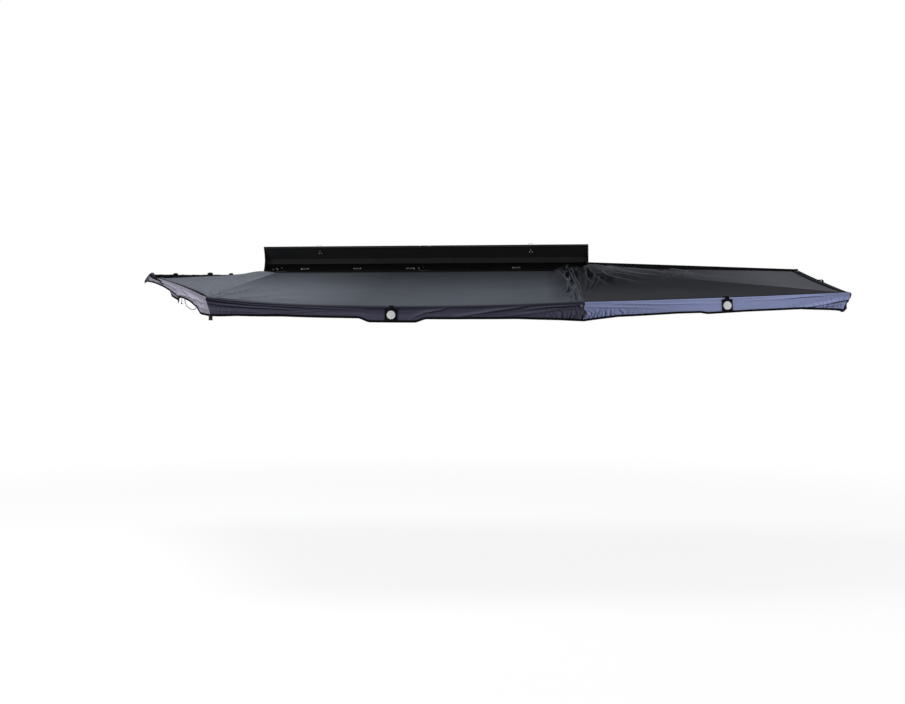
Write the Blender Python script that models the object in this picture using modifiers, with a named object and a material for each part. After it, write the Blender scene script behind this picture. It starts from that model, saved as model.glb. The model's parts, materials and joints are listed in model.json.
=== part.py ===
"""A hard-case side awning for a vehicle, opened out: an aluminium case that bolts to a roof rack,
its lid flipped up, and five folding arms on two hubs that spread a fan of canopy cloth.

Units are metres. +Z is up, +X runs along the case towards the vehicle's rear, and -Y points away
from the vehicle. The origin is the middle of the case's flat back face.
"""

import math

import bmesh
import bpy
from mathutils import Matrix, Vector

# Case: a C-shaped back extrusion that is open to -Y
CASE_LENGTH = 2.450
CASE_HEIGHT = 0.190
CASE_DEPTH = 0.0545
WALL = 0.003
GAP = 0.0003

# Lid: a faceted shell, flipped up over its hinge line on the case's upper front edge
LID_HEIGHT = 0.188
LID_DEPTH = 0.085
LID_WALL = 0.0025
HINGE_Y = -0.058
HINGE_Z = 0.0968
HINGE_X = (-1.09, 0.0, 1.09)
LATCH_X = (-0.80, 0.80)
BRACKET_X = (-0.90, 0.0, 0.90)

# Hubs and arms: every pivot leans outwards by the canopy's slope, so arms along the case lie level
HUB_X = 1.175
HUB_Y = -0.090
CANOPY_Z = 0.095
SLOPE = math.atan(0.0985)
TUBE_WIDTH = 0.032
TUBE_TALL = 0.020
TUBE_WALL = 0.0016
LEVEL_TOP = 0.021
LEVEL_PITCH = 0.0225
PIN_RADIUS = 0.006
EYE_RADIUS = 0.0165

# Each arm: hub side, length to the canopy corner, angle from +X at rest, level counted from the top
ARMS = {
    "a": (-1, 0.915, 180.0, 1),
    "b": (-1, 2.300, -84.9, 2),
    "c": (1, 2.118, -89.2, 4),
    "d": (1, 2.300, -46.3, 3),
    "e": (1, 1.548, 0.0, 0),
}

# Cloth
CLOTH = 0.0012
CLOTH_LIFT = 0.0022
WEBBING = 0.025

# The cord loop under the front edge: share of the way along the edge, and drop below it
CORD_DIAMETER = 0.005
CORD_OUT = 0.016
CORD_POINTS = (
    (0.640, 0.056),
    (0.652, 0.086),
    (0.676, 0.108),
    (0.715, 0.117),
    (0.761, 0.118),
    (0.824, 0.108),
    (0.862, 0.091),
    (0.880, 0.076),
)

EX = Vector((1, 0, 0))
UPHILL = Vector((0, math.cos(SLOPE), math.sin(SLOPE)))
PIVOT = Vector((0, -math.sin(SLOPE), math.cos(SLOPE)))


for old in list(bpy.data.objects):
    bpy.data.objects.remove(old, do_unlink=True)

parts = bpy.data.collections.new("side_awning")
cutters = bpy.data.collections.new("cutters")
for made in (parts, cutters):
    bpy.context.scene.collection.children.link(made)


# Materials

def material(name, colour, roughness, metallic=0.0):
    made = bpy.data.materials.new(name)
    made.use_nodes = True
    shader = made.node_tree.nodes["Principled BSDF"]
    shader.inputs["Base Color"].default_value = (*colour, 1.0)
    shader.inputs["Roughness"].default_value = roughness
    shader.inputs["Metallic"].default_value = metallic
    return made


BLACK_COAT = material("black_powder_coat", (0.010, 0.010, 0.011), 0.42, 0.0)
BLACK_ALLOY = material("black_anodised_alloy", (0.030, 0.030, 0.034), 0.38, 0.8)
STEEL = material("zinc_steel", (0.52, 0.53, 0.55), 0.35, 1.0)
NYLON = material("black_nylon", (0.014, 0.014, 0.015), 0.55)
RUBBER = material("black_rubber", (0.012, 0.012, 0.012), 0.8)
GREY_CLOTH = material("slate_ripstop", (0.085, 0.105, 0.125), 0.62)
LILAC_CLOTH = material("lilac_grey_ripstop", (0.120, 0.125, 0.200), 0.60)
WEB_CLOTH = material("black_webbing", (0.010, 0.010, 0.011), 0.75)
CORD = material("grey_cord", (0.42, 0.42, 0.44), 0.6)


# Helpers

def add(obj, coat, collection=None):
    (collection or parts).objects.link(obj)
    if coat is not None:
        obj.data.materials.clear()
        obj.data.materials.append(coat)
    return obj


def frame_matrix(origin, x_axis, y_axis, z_axis):
    rows = [[x_axis[i], y_axis[i], z_axis[i], origin[i]] for i in range(3)]
    return Matrix((*rows, (0, 0, 0, 1)))


def along_x(x=0.0, y=0.0, z=0.0):
    """Local x, y and z become world Y, Z and X, so an outline in Y and Z is drawn out along the case."""
    return frame_matrix((x, y, z), Vector((0, 1, 0)), Vector((0, 0, 1)), EX)


def curve_mesh(curve):
    """The closed mesh of a filled curve, with its loose caps welded on."""
    holder = bpy.data.objects.new("holder", curve)
    parts.objects.link(holder)
    bpy.context.view_layer.update()
    evaluated = holder.evaluated_get(bpy.context.evaluated_depsgraph_get())
    mesh = bpy.data.meshes.new_from_object(evaluated)
    bpy.data.objects.remove(holder, do_unlink=True)
    work = bmesh.new()
    work.from_mesh(mesh)
    bmesh.ops.remove_doubles(work, verts=work.verts, dist=1e-6)
    bmesh.ops.recalc_face_normals(work, faces=work.faces)
    work.to_mesh(mesh)
    work.free()
    return mesh


def outline_mesh(loops, thickness):
    """A flat outline with holes, as a 2D curve drawn out by half the thickness each way."""
    curve = bpy.data.curves.new("outline", "CURVE")
    curve.dimensions = "2D"
    curve.fill_mode = "BOTH"
    curve.extrude = thickness / 2
    for loop in loops:
        spline = curve.splines.new("POLY")
        spline.points.add(len(loop) - 1)
        for point, (x, y) in zip(spline.points, loop):
            point.co = (x, y, 0, 1)
        spline.use_cyclic_u = True
    return curve_mesh(curve)


def outline_solid(name, loops, thickness, matrix, coat):
    obj = bpy.data.objects.new(name, outline_mesh(loops, thickness))
    obj.matrix_world = matrix
    return add(obj, coat)


def rounded(width, height, radius, steps=3, centre=(0.0, 0.0)):
    """A rectangle's outline with round corners."""
    points = []
    for turn, (sx, sy) in enumerate(((1, 1), (-1, 1), (-1, -1), (1, -1))):
        cx = centre[0] + sx * (width / 2 - radius)
        cy = centre[1] + sy * (height / 2 - radius)
        for step in range(steps + 1):
            angle = math.radians(90 * turn + 90 * step / steps)
            points.append((cx + radius * math.cos(angle), cy + radius * math.sin(angle)))
    return points


def ring(radius, count=24, centre=(0.0, 0.0)):
    return [
        (
            centre[0] + radius * math.cos(math.tau * i / count),
            centre[1] + radius * math.sin(math.tau * i / count),
        )
        for i in range(count)
    ]


def box_bm(size, centre=(0, 0, 0)):
    work = bmesh.new()
    bmesh.ops.create_cube(work, size=1.0)
    bmesh.ops.scale(work, vec=size, verts=work.verts)
    bmesh.ops.translate(work, vec=centre, verts=work.verts)
    return work


def cylinder_bm(radius, depth, centre=(0, 0, 0), sides=24):
    work = bmesh.new()
    bmesh.ops.create_cone(
        work, cap_ends=True, segments=sides, radius1=radius, radius2=radius, depth=depth
    )
    bmesh.ops.translate(work, vec=centre, verts=work.verts)
    return work


def solid(name, work, matrix=None, coat=None, collection=None):
    mesh = bpy.data.meshes.new(name)
    work.to_mesh(mesh)
    work.free()
    obj = bpy.data.objects.new(name, mesh)
    obj.matrix_world = matrix or Matrix()
    return add(obj, coat, collection)


def bevel(obj, width, segments=2, angle=40):
    cut = obj.modifiers.new("soft_edges", "BEVEL")
    cut.width = width
    cut.segments = segments
    cut.limit_method = "ANGLE"
    cut.angle_limit = math.radians(angle)
    return obj


def boolean(obj, other, operation="DIFFERENCE"):
    """Applies one exact Boolean and keeps the other solid, if it is a cutter, as a hidden wire."""
    step = obj.modifiers.new("step", "BOOLEAN")
    step.operation = operation
    step.solver = "EXACT"
    step.object = other
    bpy.context.view_layer.update()
    evaluated = obj.evaluated_get(bpy.context.evaluated_depsgraph_get())
    mesh = bpy.data.meshes.new_from_object(evaluated)
    obj.modifiers.clear()
    obj.data = mesh
    if operation == "DIFFERENCE":
        other.hide_render = True
        other.display_type = "WIRE"
    else:
        bpy.data.objects.remove(other, do_unlink=True)
    return obj


def cutter(name, work, matrix=None):
    return solid(name, work, matrix, None, cutters)


def mesh_bm(mesh):
    work = bmesh.new()
    work.from_mesh(mesh)
    return work


def smooth(obj, angle=35):
    obj.data.shade_smooth()
    obj.data.set_sharp_from_angle(angle=math.radians(angle))
    return obj


# Case

def slot_outside(z):
    """The outer steps of a bolt channel in the back wall, going up."""
    lip, deep, mouth, wide = 0.0025, 0.0085, 0.0045, 0.0085
    return [
        (0, z - mouth),
        (-lip, z - mouth),
        (-lip, z - wide),
        (-deep, z - wide),
        (-deep, z + wide),
        (-lip, z + wide),
        (-lip, z + mouth),
        (0, z + mouth),
    ]


def slot_inside(z):
    """The raised wall round the same channel on the case's inner face, going down."""
    deep, wide = 0.0105, 0.0105
    return [(-WALL, z + wide), (-deep, z + wide), (-deep, z - wide), (-WALL, z - wide)]


SLOT_Z = 0.055
FOOT_Z = -0.078
TURN_TO_Y = Matrix.Rotation(math.pi / 2, 4, "X")
CASE_TOP = CASE_HEIGHT / 2 - 0.0002
CASE_BOTTOM = -CASE_HEIGHT / 2
LIP = 0.005


def case_back():
    outline = [(0, CASE_BOTTOM)]
    outline += slot_outside(-SLOT_Z) + slot_outside(SLOT_Z)
    outline += [(0, CASE_TOP), (-CASE_DEPTH, CASE_TOP), (-CASE_DEPTH, CASE_TOP - LIP)]
    outline += [(-CASE_DEPTH + WALL, CASE_TOP - LIP), (-CASE_DEPTH + WALL, CASE_TOP - WALL)]
    outline += [(-WALL, CASE_TOP - WALL)]
    outline += slot_inside(SLOT_Z) + slot_inside(-SLOT_Z)
    outline += [(-WALL, CASE_BOTTOM + WALL), (-CASE_DEPTH + WALL, CASE_BOTTOM + WALL)]
    outline += [(-CASE_DEPTH + WALL, CASE_BOTTOM + LIP), (-CASE_DEPTH, CASE_BOTTOM + LIP)]
    outline += [(-CASE_DEPTH, CASE_BOTTOM)]
    back = outline_solid("case_back", [outline], CASE_LENGTH, along_x(), BLACK_COAT)
    for side in (-1, 1):
        for z in (-0.020, 0.020):
            hole = cylinder_bm(0.0033, 0.02, sides=16)
            place = Matrix.Translation((side * HUB_X, 0, z)) @ TURN_TO_Y
            boolean(back, cutter(f"hub_bolt_hole_{side}_{z}", hole, place))
    return back


def case_end_cap(name, side):
    """A moulded cap over the open end, with a rim that stands on the extrusion's end face."""
    thick = 0.004
    outline = rounded(CASE_DEPTH, CASE_HEIGHT, 0.006, 3, (-CASE_DEPTH / 2, 0.0))
    x = side * (CASE_LENGTH / 2 + GAP + thick / 2)
    return bevel(outline_solid(name, [outline], thick, along_x(x), NYLON), 0.0012)


def canopy_rail():
    """The track that holds the canopy's corded edge, under the case's upper front lip."""
    y0, z0, bore = -0.0470, 0.0835, 0.0036
    mouth = math.radians(24)
    inner = []
    for i in range(17):
        angle = math.pi + mouth + (math.tau - 2 * mouth) * i / 16
        inner.append((y0 + bore * math.cos(angle), z0 + bore * math.sin(angle)))
    front_y = y0 - 0.00525
    half = bore * math.sin(mouth)
    # One outline: round the outside from the slot's lower lip to its upper lip, then back inside
    around = [(front_y, z0 - half), (front_y, z0 - 0.00525)]
    around += [(y0 + 0.00525, z0 - 0.00525), (y0 + 0.00525, z0 + 0.00525)]
    around += [(front_y, z0 + 0.00525), (front_y, z0 + half)]
    around += list(reversed(inner))
    length = 2 * (HUB_X - 0.035)
    return outline_solid("canopy_rail", [around], length, along_x(), BLACK_ALLOY)


def case_seal():
    """A rubber strip along the lower lip, where the closed lid lands."""
    y, z = -CASE_DEPTH - 0.0018 - GAP, CASE_BOTTOM + 0.003
    outline = rounded(0.0036, 0.006, 0.0015, 2, (y, z))
    return outline_solid("case_seal", [outline], CASE_LENGTH - 0.004, along_x(), RUBBER)


def rack_bracket(name, x):
    """An L bracket: its upright is bolted to the lower channel, its slotted foot sits on a rack bar."""
    thick, width, top, out = 0.006, 0.100, -0.030, 0.085
    y = GAP
    outline = [(y, FOOT_Z), (y + out, FOOT_Z), (y + out, FOOT_Z + thick)]
    outline += [(y + thick + 0.008, FOOT_Z + thick), (y + thick, FOOT_Z + thick + 0.008)]
    outline += [(y + thick, top), (y, top)]
    bracket = outline_solid(name, [outline], width, along_x(x), BLACK_COAT)
    for side in (-1, 1):
        slot = mesh_bm(outline_mesh([rounded(0.009, 0.040, 0.0044, 4)], 0.03))
        place = Matrix.Translation((x + side * 0.028, 0.052, FOOT_Z))
        boolean(bracket, cutter(f"{name}_slot_{side}", slot, place))
        hole = cylinder_bm(0.0043, 0.03, sides=16)
        place = Matrix.Translation((x + side * 0.032, 0, -SLOT_Z))
        boolean(bracket, cutter(f"{name}_hole_{side}", hole, place @ TURN_TO_Y))
    return bevel(bracket, 0.0012, 1, 60)


# Hubs

def level_depth(level):
    return LEVEL_TOP + LEVEL_PITCH * level


STACK_TOP = LEVEL_TOP - TUBE_TALL / 2 - 0.0005
STACK_BOTTOM = level_depth(4) + TUBE_TALL / 2 + 0.0005
BLOCK_TOP = 0.0893
BLOCK_BOTTOM = -0.052
BLOCK_BACK = -0.0108
BLOCK_WIDTH = 0.046
LUG_FRONT = 0.019
LUG_BACK = 0.0185
LUG_THICK = 0.008
LUG_TOP_THICK = 0.005
HUB_BOLT_Z = (-0.020, 0.020)


def hub_point(side, depth=0.0):
    return Vector((side * HUB_X, HUB_Y, CANOPY_Z)) - PIVOT * depth


def leaning(uphill, depth):
    """Y and Z of a point this far uphill of the pivot line and this deep under the canopy."""
    point = hub_point(0, depth) + UPHILL * uphill
    return (point.y, point.z)


def pivot_matrix(side, depth):
    return frame_matrix(hub_point(side, depth), EX, UPHILL, PIVOT)


def hub_bracket(name, side):
    """A cast block with two lugs. Its lug faces lie square to the leaning pivot."""
    outline = [
        (BLOCK_BACK, BLOCK_TOP),
        leaning(LUG_BACK, STACK_TOP - LUG_TOP_THICK / 2),
        leaning(-LUG_FRONT, STACK_TOP - LUG_TOP_THICK),
        leaning(-LUG_FRONT, STACK_TOP),
        leaning(LUG_BACK, STACK_TOP),
        leaning(LUG_BACK, STACK_BOTTOM),
        leaning(-LUG_FRONT, STACK_BOTTOM),
        leaning(-LUG_FRONT, STACK_BOTTOM + LUG_THICK),
        leaning(0.0125, STACK_BOTTOM + LUG_THICK),
        (-0.056, BLOCK_BOTTOM),
        (BLOCK_BACK, BLOCK_BOTTOM),
    ]
    block = outline_solid(name, [outline], BLOCK_WIDTH, along_x(side * HUB_X), BLACK_COAT)
    window = box_bm((0.08, 0.024, 0.062), (side * HUB_X, -0.034, 0.0))
    boolean(block, cutter(f"{name}_window", window))
    bore = cylinder_bm(PIN_RADIUS + GAP, 0.3, sides=24)
    boolean(block, cutter(f"{name}_bore", bore, pivot_matrix(side, 0.07)))
    for z in HUB_BOLT_Z:
        hole = cylinder_bm(0.0033, 0.016, sides=16)
        place = Matrix.Translation((side * HUB_X, -0.018, z)) @ TURN_TO_Y
        boolean(block, cutter(f"{name}_hole_{z}", hole, place))
    return block


def pivot_pin(name, side):
    """A long clevis pin, flush with the upper lug, headed under the lower one."""
    head_top = STACK_BOTTOM + LUG_THICK + GAP
    length = head_top - STACK_TOP + 0.004
    middle = (STACK_TOP - 0.003 + head_top + 0.001) / 2
    pin = solid(name, cylinder_bm(PIN_RADIUS, length, sides=24), pivot_matrix(side, middle), STEEL)
    head = cylinder_bm(0.0105, 0.005, (0, 0, middle - head_top - 0.0025), 6)
    boolean(pin, solid("head", head, pivot_matrix(side, middle)), "UNION")
    return smooth(pin)


def hub_bush(name, side, first, last):
    """A bush on the pin, as tall as the levels whose arms belong to the other hub."""
    tall = TUBE_TALL + LEVEL_PITCH * (last - first)
    mesh = outline_mesh([ring(0.0105, 20), list(reversed(ring(PIN_RADIUS + GAP, 20)))], tall)
    bush = bpy.data.objects.new(name, mesh)
    bush.matrix_world = pivot_matrix(side, (level_depth(first) + level_depth(last)) / 2)
    return smooth(add(bush, NYLON))


# Arms

def arm_matrix(key):
    """Origin on the pivot at the arm's own level, local x out along the arm, local z up the pivot."""
    side, _, degrees, level = ARMS[key]
    angle = math.radians(degrees)
    out = EX * math.cos(angle) + UPHILL * math.sin(angle)
    across = PIVOT.cross(out)
    return frame_matrix(hub_point(side, level_depth(level)), out, across, PIVOT)


TUBE_START = 0.036
TONGUE_ROOM = TUBE_WALL + 0.0013
TIP_LENGTH = 0.030
CORNER_REACH = 0.026


def arm_end(key):
    """Where the arm stops, just short of the canopy's corner."""
    return ARMS[key][1] - CORNER_REACH


def arm_tube(key):
    """A round-cornered box tube."""
    length = arm_end(key) - TIP_LENGTH - TUBE_START
    outer = rounded(TUBE_WIDTH, TUBE_TALL, 0.004, 3)
    inner = rounded(TUBE_WIDTH - 2 * TUBE_WALL, TUBE_TALL - 2 * TUBE_WALL, 0.0025, 2)
    lie = frame_matrix(Vector((TUBE_START + length / 2, 0, 0)), Vector((0, 1, 0)),
                       Vector((0, 0, 1)), Vector((1, 0, 0)))
    mesh = outline_mesh([outer, list(reversed(inner))], length)
    mesh.transform(lie)
    obj = bpy.data.objects.new(f"arm_{key}_tube", mesh)
    obj.matrix_world = arm_matrix(key)
    return add(obj, BLACK_ALLOY)


def arm_knuckle(key):
    """The hinge eye, its shoulder against the tube's end, and its tongue inside the tube."""
    half = TUBE_WIDTH / 2
    neck = 0.011
    points = []
    start = math.asin(neck / EYE_RADIUS)
    for i in range(21):
        angle = start + (math.tau - 2 * start) * i / 20
        points.append((EYE_RADIUS * math.cos(angle), EYE_RADIUS * math.sin(angle)))
    points += [(0.024, -neck), (0.029, -half), (TUBE_START - GAP, -half)]
    points += [(TUBE_START - GAP, half), (0.029, half), (0.024, neck)]
    bore = list(reversed(ring(PIN_RADIUS + GAP, 20)))
    name = f"arm_{key}_knuckle"
    eye = outline_solid(name, [points, bore], TUBE_TALL, arm_matrix(key), BLACK_COAT)
    size = (0.052, TUBE_WIDTH - 2 * TONGUE_ROOM, TUBE_TALL - 2 * TONGUE_ROOM)
    tongue = box_bm(size, (TUBE_START + 0.020, 0, 0))
    boolean(eye, solid("tongue", tongue, arm_matrix(key)), "UNION")
    return bevel(eye, 0.0006, 1, 50)


def arm_tip(key):
    """A moulded end plug with a nose that the canopy's corner webbing hooks round."""
    start = arm_end(key) - TIP_LENGTH + GAP
    half = TUBE_WIDTH / 2
    points = [(start, -half), (start, half), (start + 0.012, half)]
    for i in range(9):
        angle = math.pi / 2 - math.pi * i / 8
        points.append((start + 0.018 + 0.0115 * math.cos(angle), 0.0115 * math.sin(angle)))
    points.append((start + 0.012, -half))
    plug = outline_solid(f"arm_{key}_tip", [points], TUBE_TALL - 0.001, arm_matrix(key), NYLON)
    size = (0.040, TUBE_WIDTH - 2 * TONGUE_ROOM, TUBE_TALL - 2 * TONGUE_ROOM)
    tongue = box_bm(size, (start - 0.016, 0, 0))
    boolean(plug, solid("tongue", tongue, arm_matrix(key)), "UNION")
    return bevel(plug, 0.0008, 1, 50)


# Lid, drawn in Y and Z from its hinge line, open

LID_Y = -CASE_DEPTH
LID_Z = 0.0988


def lid_line():
    """The lid's inner face, from the hinge rim round to the free rim."""
    return [
        (LID_Y, LID_Z + LID_WALL),
        (LID_Y + 0.052, LID_Z + LID_WALL),
        (LID_Y + LID_DEPTH - LID_WALL, LID_Z + 0.062),
        (LID_Y + LID_DEPTH - LID_WALL, LID_Z + 0.098),
        (LID_Y + 0.013, LID_Z + 0.174),
        (LID_Y + 0.002, LID_Z + 0.174),
    ]


def offset_line(points, distance):
    """The same open line moved to its right by a distance, with mitred corners."""
    moved = []
    for i, (x, y) in enumerate(points):
        before = points[max(i - 1, 0)]
        after = points[min(i + 1, len(points) - 1)]
        first = Vector((x - before[0], y - before[1]))
        second = Vector((after[0] - x, after[1] - y))
        first = second if first.length == 0 else first
        second = first if second.length == 0 else second
        n1 = Vector((first.y, -first.x)).normalized()
        n2 = Vector((second.y, -second.x)).normalized()
        mitre = (n1 + n2) / (1 + n1.dot(n2))
        moved.append((x + mitre.x * distance, y + mitre.y * distance))
    return moved


FREE_RIM_TOP = LID_Z + LID_HEIGHT


def lid_shell():
    """A folded profile: hinge flange, two slanted faces, a flat band, and a rolled free rim."""
    inner = lid_line()
    outer = offset_line(inner, LID_WALL)
    rim = [(LID_Y, LID_Z + 0.174), (LID_Y, FREE_RIM_TOP), (LID_Y + 0.0045, FREE_RIM_TOP)]
    rim += [(LID_Y + 0.0045, LID_Z + 0.174 + LID_WALL)]
    outline = inner[:-1] + rim + list(reversed(outer[:-1]))
    shell = outline_solid("lid_shell", [outline], CASE_LENGTH, along_x(), BLACK_COAT)
    for x in (-0.035, 0.040):
        notch = box_bm((0.007, 0.03, 0.006), (x, LID_Y, FREE_RIM_TOP))
        boolean(shell, cutter(f"rim_notch_{x}", notch))
    return shell


def lid_end_cap(name, side):
    """A plate that follows the lid's section, hollowed at the front like a crescent."""
    outer = offset_line(lid_line(), LID_WALL)
    front = [(LID_Y + 0.0045, FREE_RIM_TOP - 0.002), (LID_Y + 0.030, LID_Z + 0.135)]
    front += [(LID_Y + 0.040, LID_Z + 0.085), (LID_Y + 0.026, LID_Z + 0.035)]
    front += [(LID_Y + 0.004, LID_Z + 0.004)]
    back = [(LID_Y + 0.004, LID_Z + 0.0005)] + outer[1:-1]
    thick = 0.003
    x = side * (CASE_LENGTH / 2 + GAP + thick / 2)
    return outline_solid(name, [back + front], thick, along_x(x), NYLON)


def hinge_leaf(name, x, on_lid):
    """A plate with its share of the barrel's knuckles. The case's leaf holds the pin."""
    radius, bore, pin_radius, thick = 0.0030, 0.0017, 0.0013, 0.0014
    knuckles = (-0.015, 0.015) if on_lid else (-0.030, 0.0, 0.030)
    plate_z = HINGE_Z + (1 if on_lid else -1) * (GAP + thick / 2)
    plate = box_bm((0.074, 0.030, thick), (x, HINGE_Y + 0.0195, plate_z))
    leaf = solid(name, plate, None, STEEL)
    for away in knuckles:
        arm = box_bm((0.0144, 0.0045, thick), (x + away, HINGE_Y + 0.0042, plate_z))
        boolean(leaf, solid("arm", arm), "UNION")
        loops = [ring(radius, 16), list(reversed(ring(bore, 12)))] if on_lid else [ring(radius, 16)]
        roll = mesh_bm(outline_mesh(loops, 0.0144))
        boolean(leaf, solid("roll", roll, along_x(x + away, HINGE_Y, HINGE_Z)), "UNION")
    if not on_lid:
        pin = cylinder_bm(pin_radius, 0.070, sides=12)
        boolean(leaf, solid("pin", pin, along_x(x, HINGE_Y, HINGE_Z)), "UNION")
    return leaf


# Draw latches on the outside of the lid's slanted face, near the free rim

def latch_frame(x):
    """Origin on the slanted face. Local y runs up it to the free rim, local z stands off it."""
    outer = offset_line(lid_line(), LID_WALL)
    low, high = Vector(outer[3]), Vector(outer[4])
    along = (high - low).normalized()
    off = Vector((-along.y, along.x)) * -1
    spot = low.lerp(high, 0.52) + off * GAP
    return frame_matrix(Vector((x, spot.x, spot.y)), EX * -1,
                        Vector((0, along.x, along.y)), Vector((0, off.x, off.y)))


TURN_TO_X = Matrix.Rotation(math.pi / 2, 4, "Y")
LEVER_Z = 0.0085
BAIL_Y = -0.013
BAIL_Z = 0.0105
BAIL_REACH = 0.068


def latch_base(name, x):
    """A plate with two ears that carry the lever's pin."""
    place = latch_frame(x)
    base = solid(name, box_bm((0.034, 0.052, 0.002), (0, -0.012, 0.001)), place, STEEL)
    for side in (-1, 1):
        ear = box_bm((0.002, 0.014, 0.012), (side * 0.0125, 0, 0.0068))
        boolean(base, solid("ear", ear, place), "UNION")
    pin = cylinder_bm(0.0016, 0.027, sides=12)
    lie = place @ Matrix.Translation((0, 0, LEVER_Z)) @ TURN_TO_X
    boolean(base, solid("pin", pin, lie), "UNION")
    return base


def latch_lever(name, x):
    """A bent handle with a barrel on the base's pin, and the bail's own cross pin behind it."""
    place = latch_frame(x)
    top = LEVER_Z + 0.0055
    outline = [(0.0045, LEVER_Z - 0.003), (0.0045, LEVER_Z + 0.003), (0.0, top)]
    outline += [(-0.040, top), (-0.056, top + 0.005), (-0.057, top + 0.003)]
    outline += [(-0.041, top - 0.003), (-0.020, top - 0.003), (-0.0185, LEVER_Z - 0.003)]
    lie = place @ frame_matrix(Vector((0, 0, 0)), Vector((0, 1, 0)), Vector((0, 0, 1)), EX)
    lever = outline_solid(name, [outline], 0.021, lie, STEEL)
    bore = cylinder_bm(0.0019, 0.05, sides=12)
    at_pin = place @ Matrix.Translation((0, 0, LEVER_Z)) @ TURN_TO_X
    boolean(lever, cutter(f"{name}_bore", bore, at_pin))
    at_bail = place @ Matrix.Translation((0, BAIL_Y, BAIL_Z)) @ TURN_TO_X
    boolean(lever, solid("cross", cylinder_bm(0.0015, 0.036, sides=12), at_bail), "UNION")
    return lever


def latch_bail(name, x):
    """A wire loop on the lever's cross pin. Its far bar hooks the keeper on the case."""
    place = latch_frame(x)
    half = 0.0160
    z = BAIL_Z
    curve = bpy.data.curves.new("wire", "CURVE")
    curve.dimensions = "3D"
    curve.bevel_depth = 0.0013
    curve.bevel_resolution = 1
    curve.use_fill_caps = True
    points = [(-half, BAIL_Y + 0.004, z), (-half, BAIL_REACH - 0.006, z)]
    points += [(-half + 0.002, BAIL_REACH - 0.002, z), (-half + 0.006, BAIL_REACH, z)]
    points += [(half - 0.006, BAIL_REACH, z), (half - 0.002, BAIL_REACH - 0.002, z)]
    points += [(half, BAIL_REACH - 0.006, z), (half, BAIL_Y + 0.004, z)]
    spline = curve.splines.new("POLY")
    spline.points.add(len(points) - 1)
    for point, co in zip(spline.points, points):
        point.co = (*co, 1)
    bail = solid(name, mesh_bm(curve_mesh(curve)), place, STEEL)
    for side in (-1, 1):
        eye = outline_mesh([ring(0.0042, 14), list(reversed(ring(0.0019, 12)))], 0.0022)
        at = place @ Matrix.Translation((side * half, BAIL_Y, z)) @ TURN_TO_X
        boolean(bail, solid("eye", mesh_bm(eye), at), "UNION")
    return bail


def latch_keeper(name, x):
    """A hooked plate under the case's lower lip that the bail catches."""
    y, z = -CASE_DEPTH + 0.004, CASE_BOTTOM - GAP
    outline = [(y, z), (y + 0.034, z), (y + 0.034, z - 0.002), (y + 0.014, z - 0.002)]
    outline += [(y + 0.014, z - 0.009), (y + 0.020, z - 0.009), (y + 0.020, z - 0.011)]
    outline += [(y + 0.012, z - 0.011), (y + 0.012, z - 0.002), (y, z - 0.002)]
    return outline_solid(name, [outline], 0.030, along_x(x), STEEL)


# Canopy

def tip_point(key):
    """The canopy's corner at an arm's end. Along the two outermost arms it lies on their near side."""
    aside = {"a": TUBE_WIDTH / 2 + 0.003, "e": -TUBE_WIDTH / 2 - 0.003}.get(key, 0.0)
    return arm_matrix(key) @ Vector((ARMS[key][1], aside, TUBE_TALL / 2 + CLOTH_LIFT))


def cloth_grid(name, corner_points, columns, rows, shape, thickness, coat):
    """A sheet between two edges, shaped by a function of its two shares, with a real thickness."""
    work = bmesh.new()
    bmesh.ops.create_grid(work, x_segments=columns, y_segments=rows, size=0.5)
    a, b, c, d = corner_points
    for vert in work.verts:
        s, t = vert.co.x + 0.5, vert.co.y + 0.5
        flat = a.lerp(b, s).lerp(d.lerp(c, s), t)
        vert.co = flat + shape(s, t)
    bmesh.ops.recalc_face_normals(work, faces=work.faces)
    sheet = solid(name, work, None, coat)
    skin = sheet.modifiers.new("thickness", "SOLIDIFY")
    skin.thickness = thickness
    skin.offset = 0.0
    return sheet


# The canopy's four outer edges, each between two arm tips, with how far it hangs low
EDGES = {
    "front": ("a", "b", 0.006),
    "side": ("b", "c", 0.043),
    "corner": ("c", "d", 0.005),
    "rear": ("d", "e", 0.004),
}
# A power below 1 moves an edge's lowest place towards its first corner
SKEW = {"front": 1.0, "side": 0.8, "corner": 1.0, "rear": 1.0}


def sag(edge, share):
    """The shape of a hanging edge: 0 at its corners and 1 at its lowest place."""
    at = min(max(share, 0.0), 1.0) ** SKEW[edge]
    return 4 * at * (1 - at)


def rim(edge, share):
    first, last, low = EDGES[edge]
    point = tip_point(first).lerp(tip_point(last), share)
    return point + Vector((0, 0, -low * sag(edge, share)))


def outward_of(edge):
    """The level direction that points out of the canopy, square to an edge."""
    line = tip_point(EDGES[edge][1]) - tip_point(EDGES[edge][0])
    return Vector((line.y, -line.x, 0)).normalized()


def hub_rise(t):
    """How much of the bunched cloth's height is left, from 1 at the hub to 0 halfway out."""
    share = min(1.0, max(0.0, (t - 0.12) / 0.38))
    return 1 - share * share * (3 - 2 * share)


def drape(edge, droop, rise=None, folds=0.0, count=0):
    """Hangs in the middle, follows the low rim, and stands up in folds over the hub."""
    low = EDGES[edge][2]

    def shape(s, t):
        across = sag(edge, s)
        hang = low * t**1.5 + droop * math.sin(math.pi * min(1, 0.15 + 0.85 * t))
        fold = abs(folds * math.sin(math.tau * count * s) * math.sin(math.pi * s)) * (1 - t) ** 3
        stand = rise(s) * hub_rise(t) if rise else 0.0
        return Vector((0, 0, fold + stand - across * hang))

    return shape


CASE_EDGE_Y = -0.0640
CASE_EDGE_Z = 0.0880
EDGE_X = HUB_X - 0.040
RIDGE_GAP = Vector((0.0015, 0, 0))
REAR_RISE = 0.050
FRONT_RISE = 0.014


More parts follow.
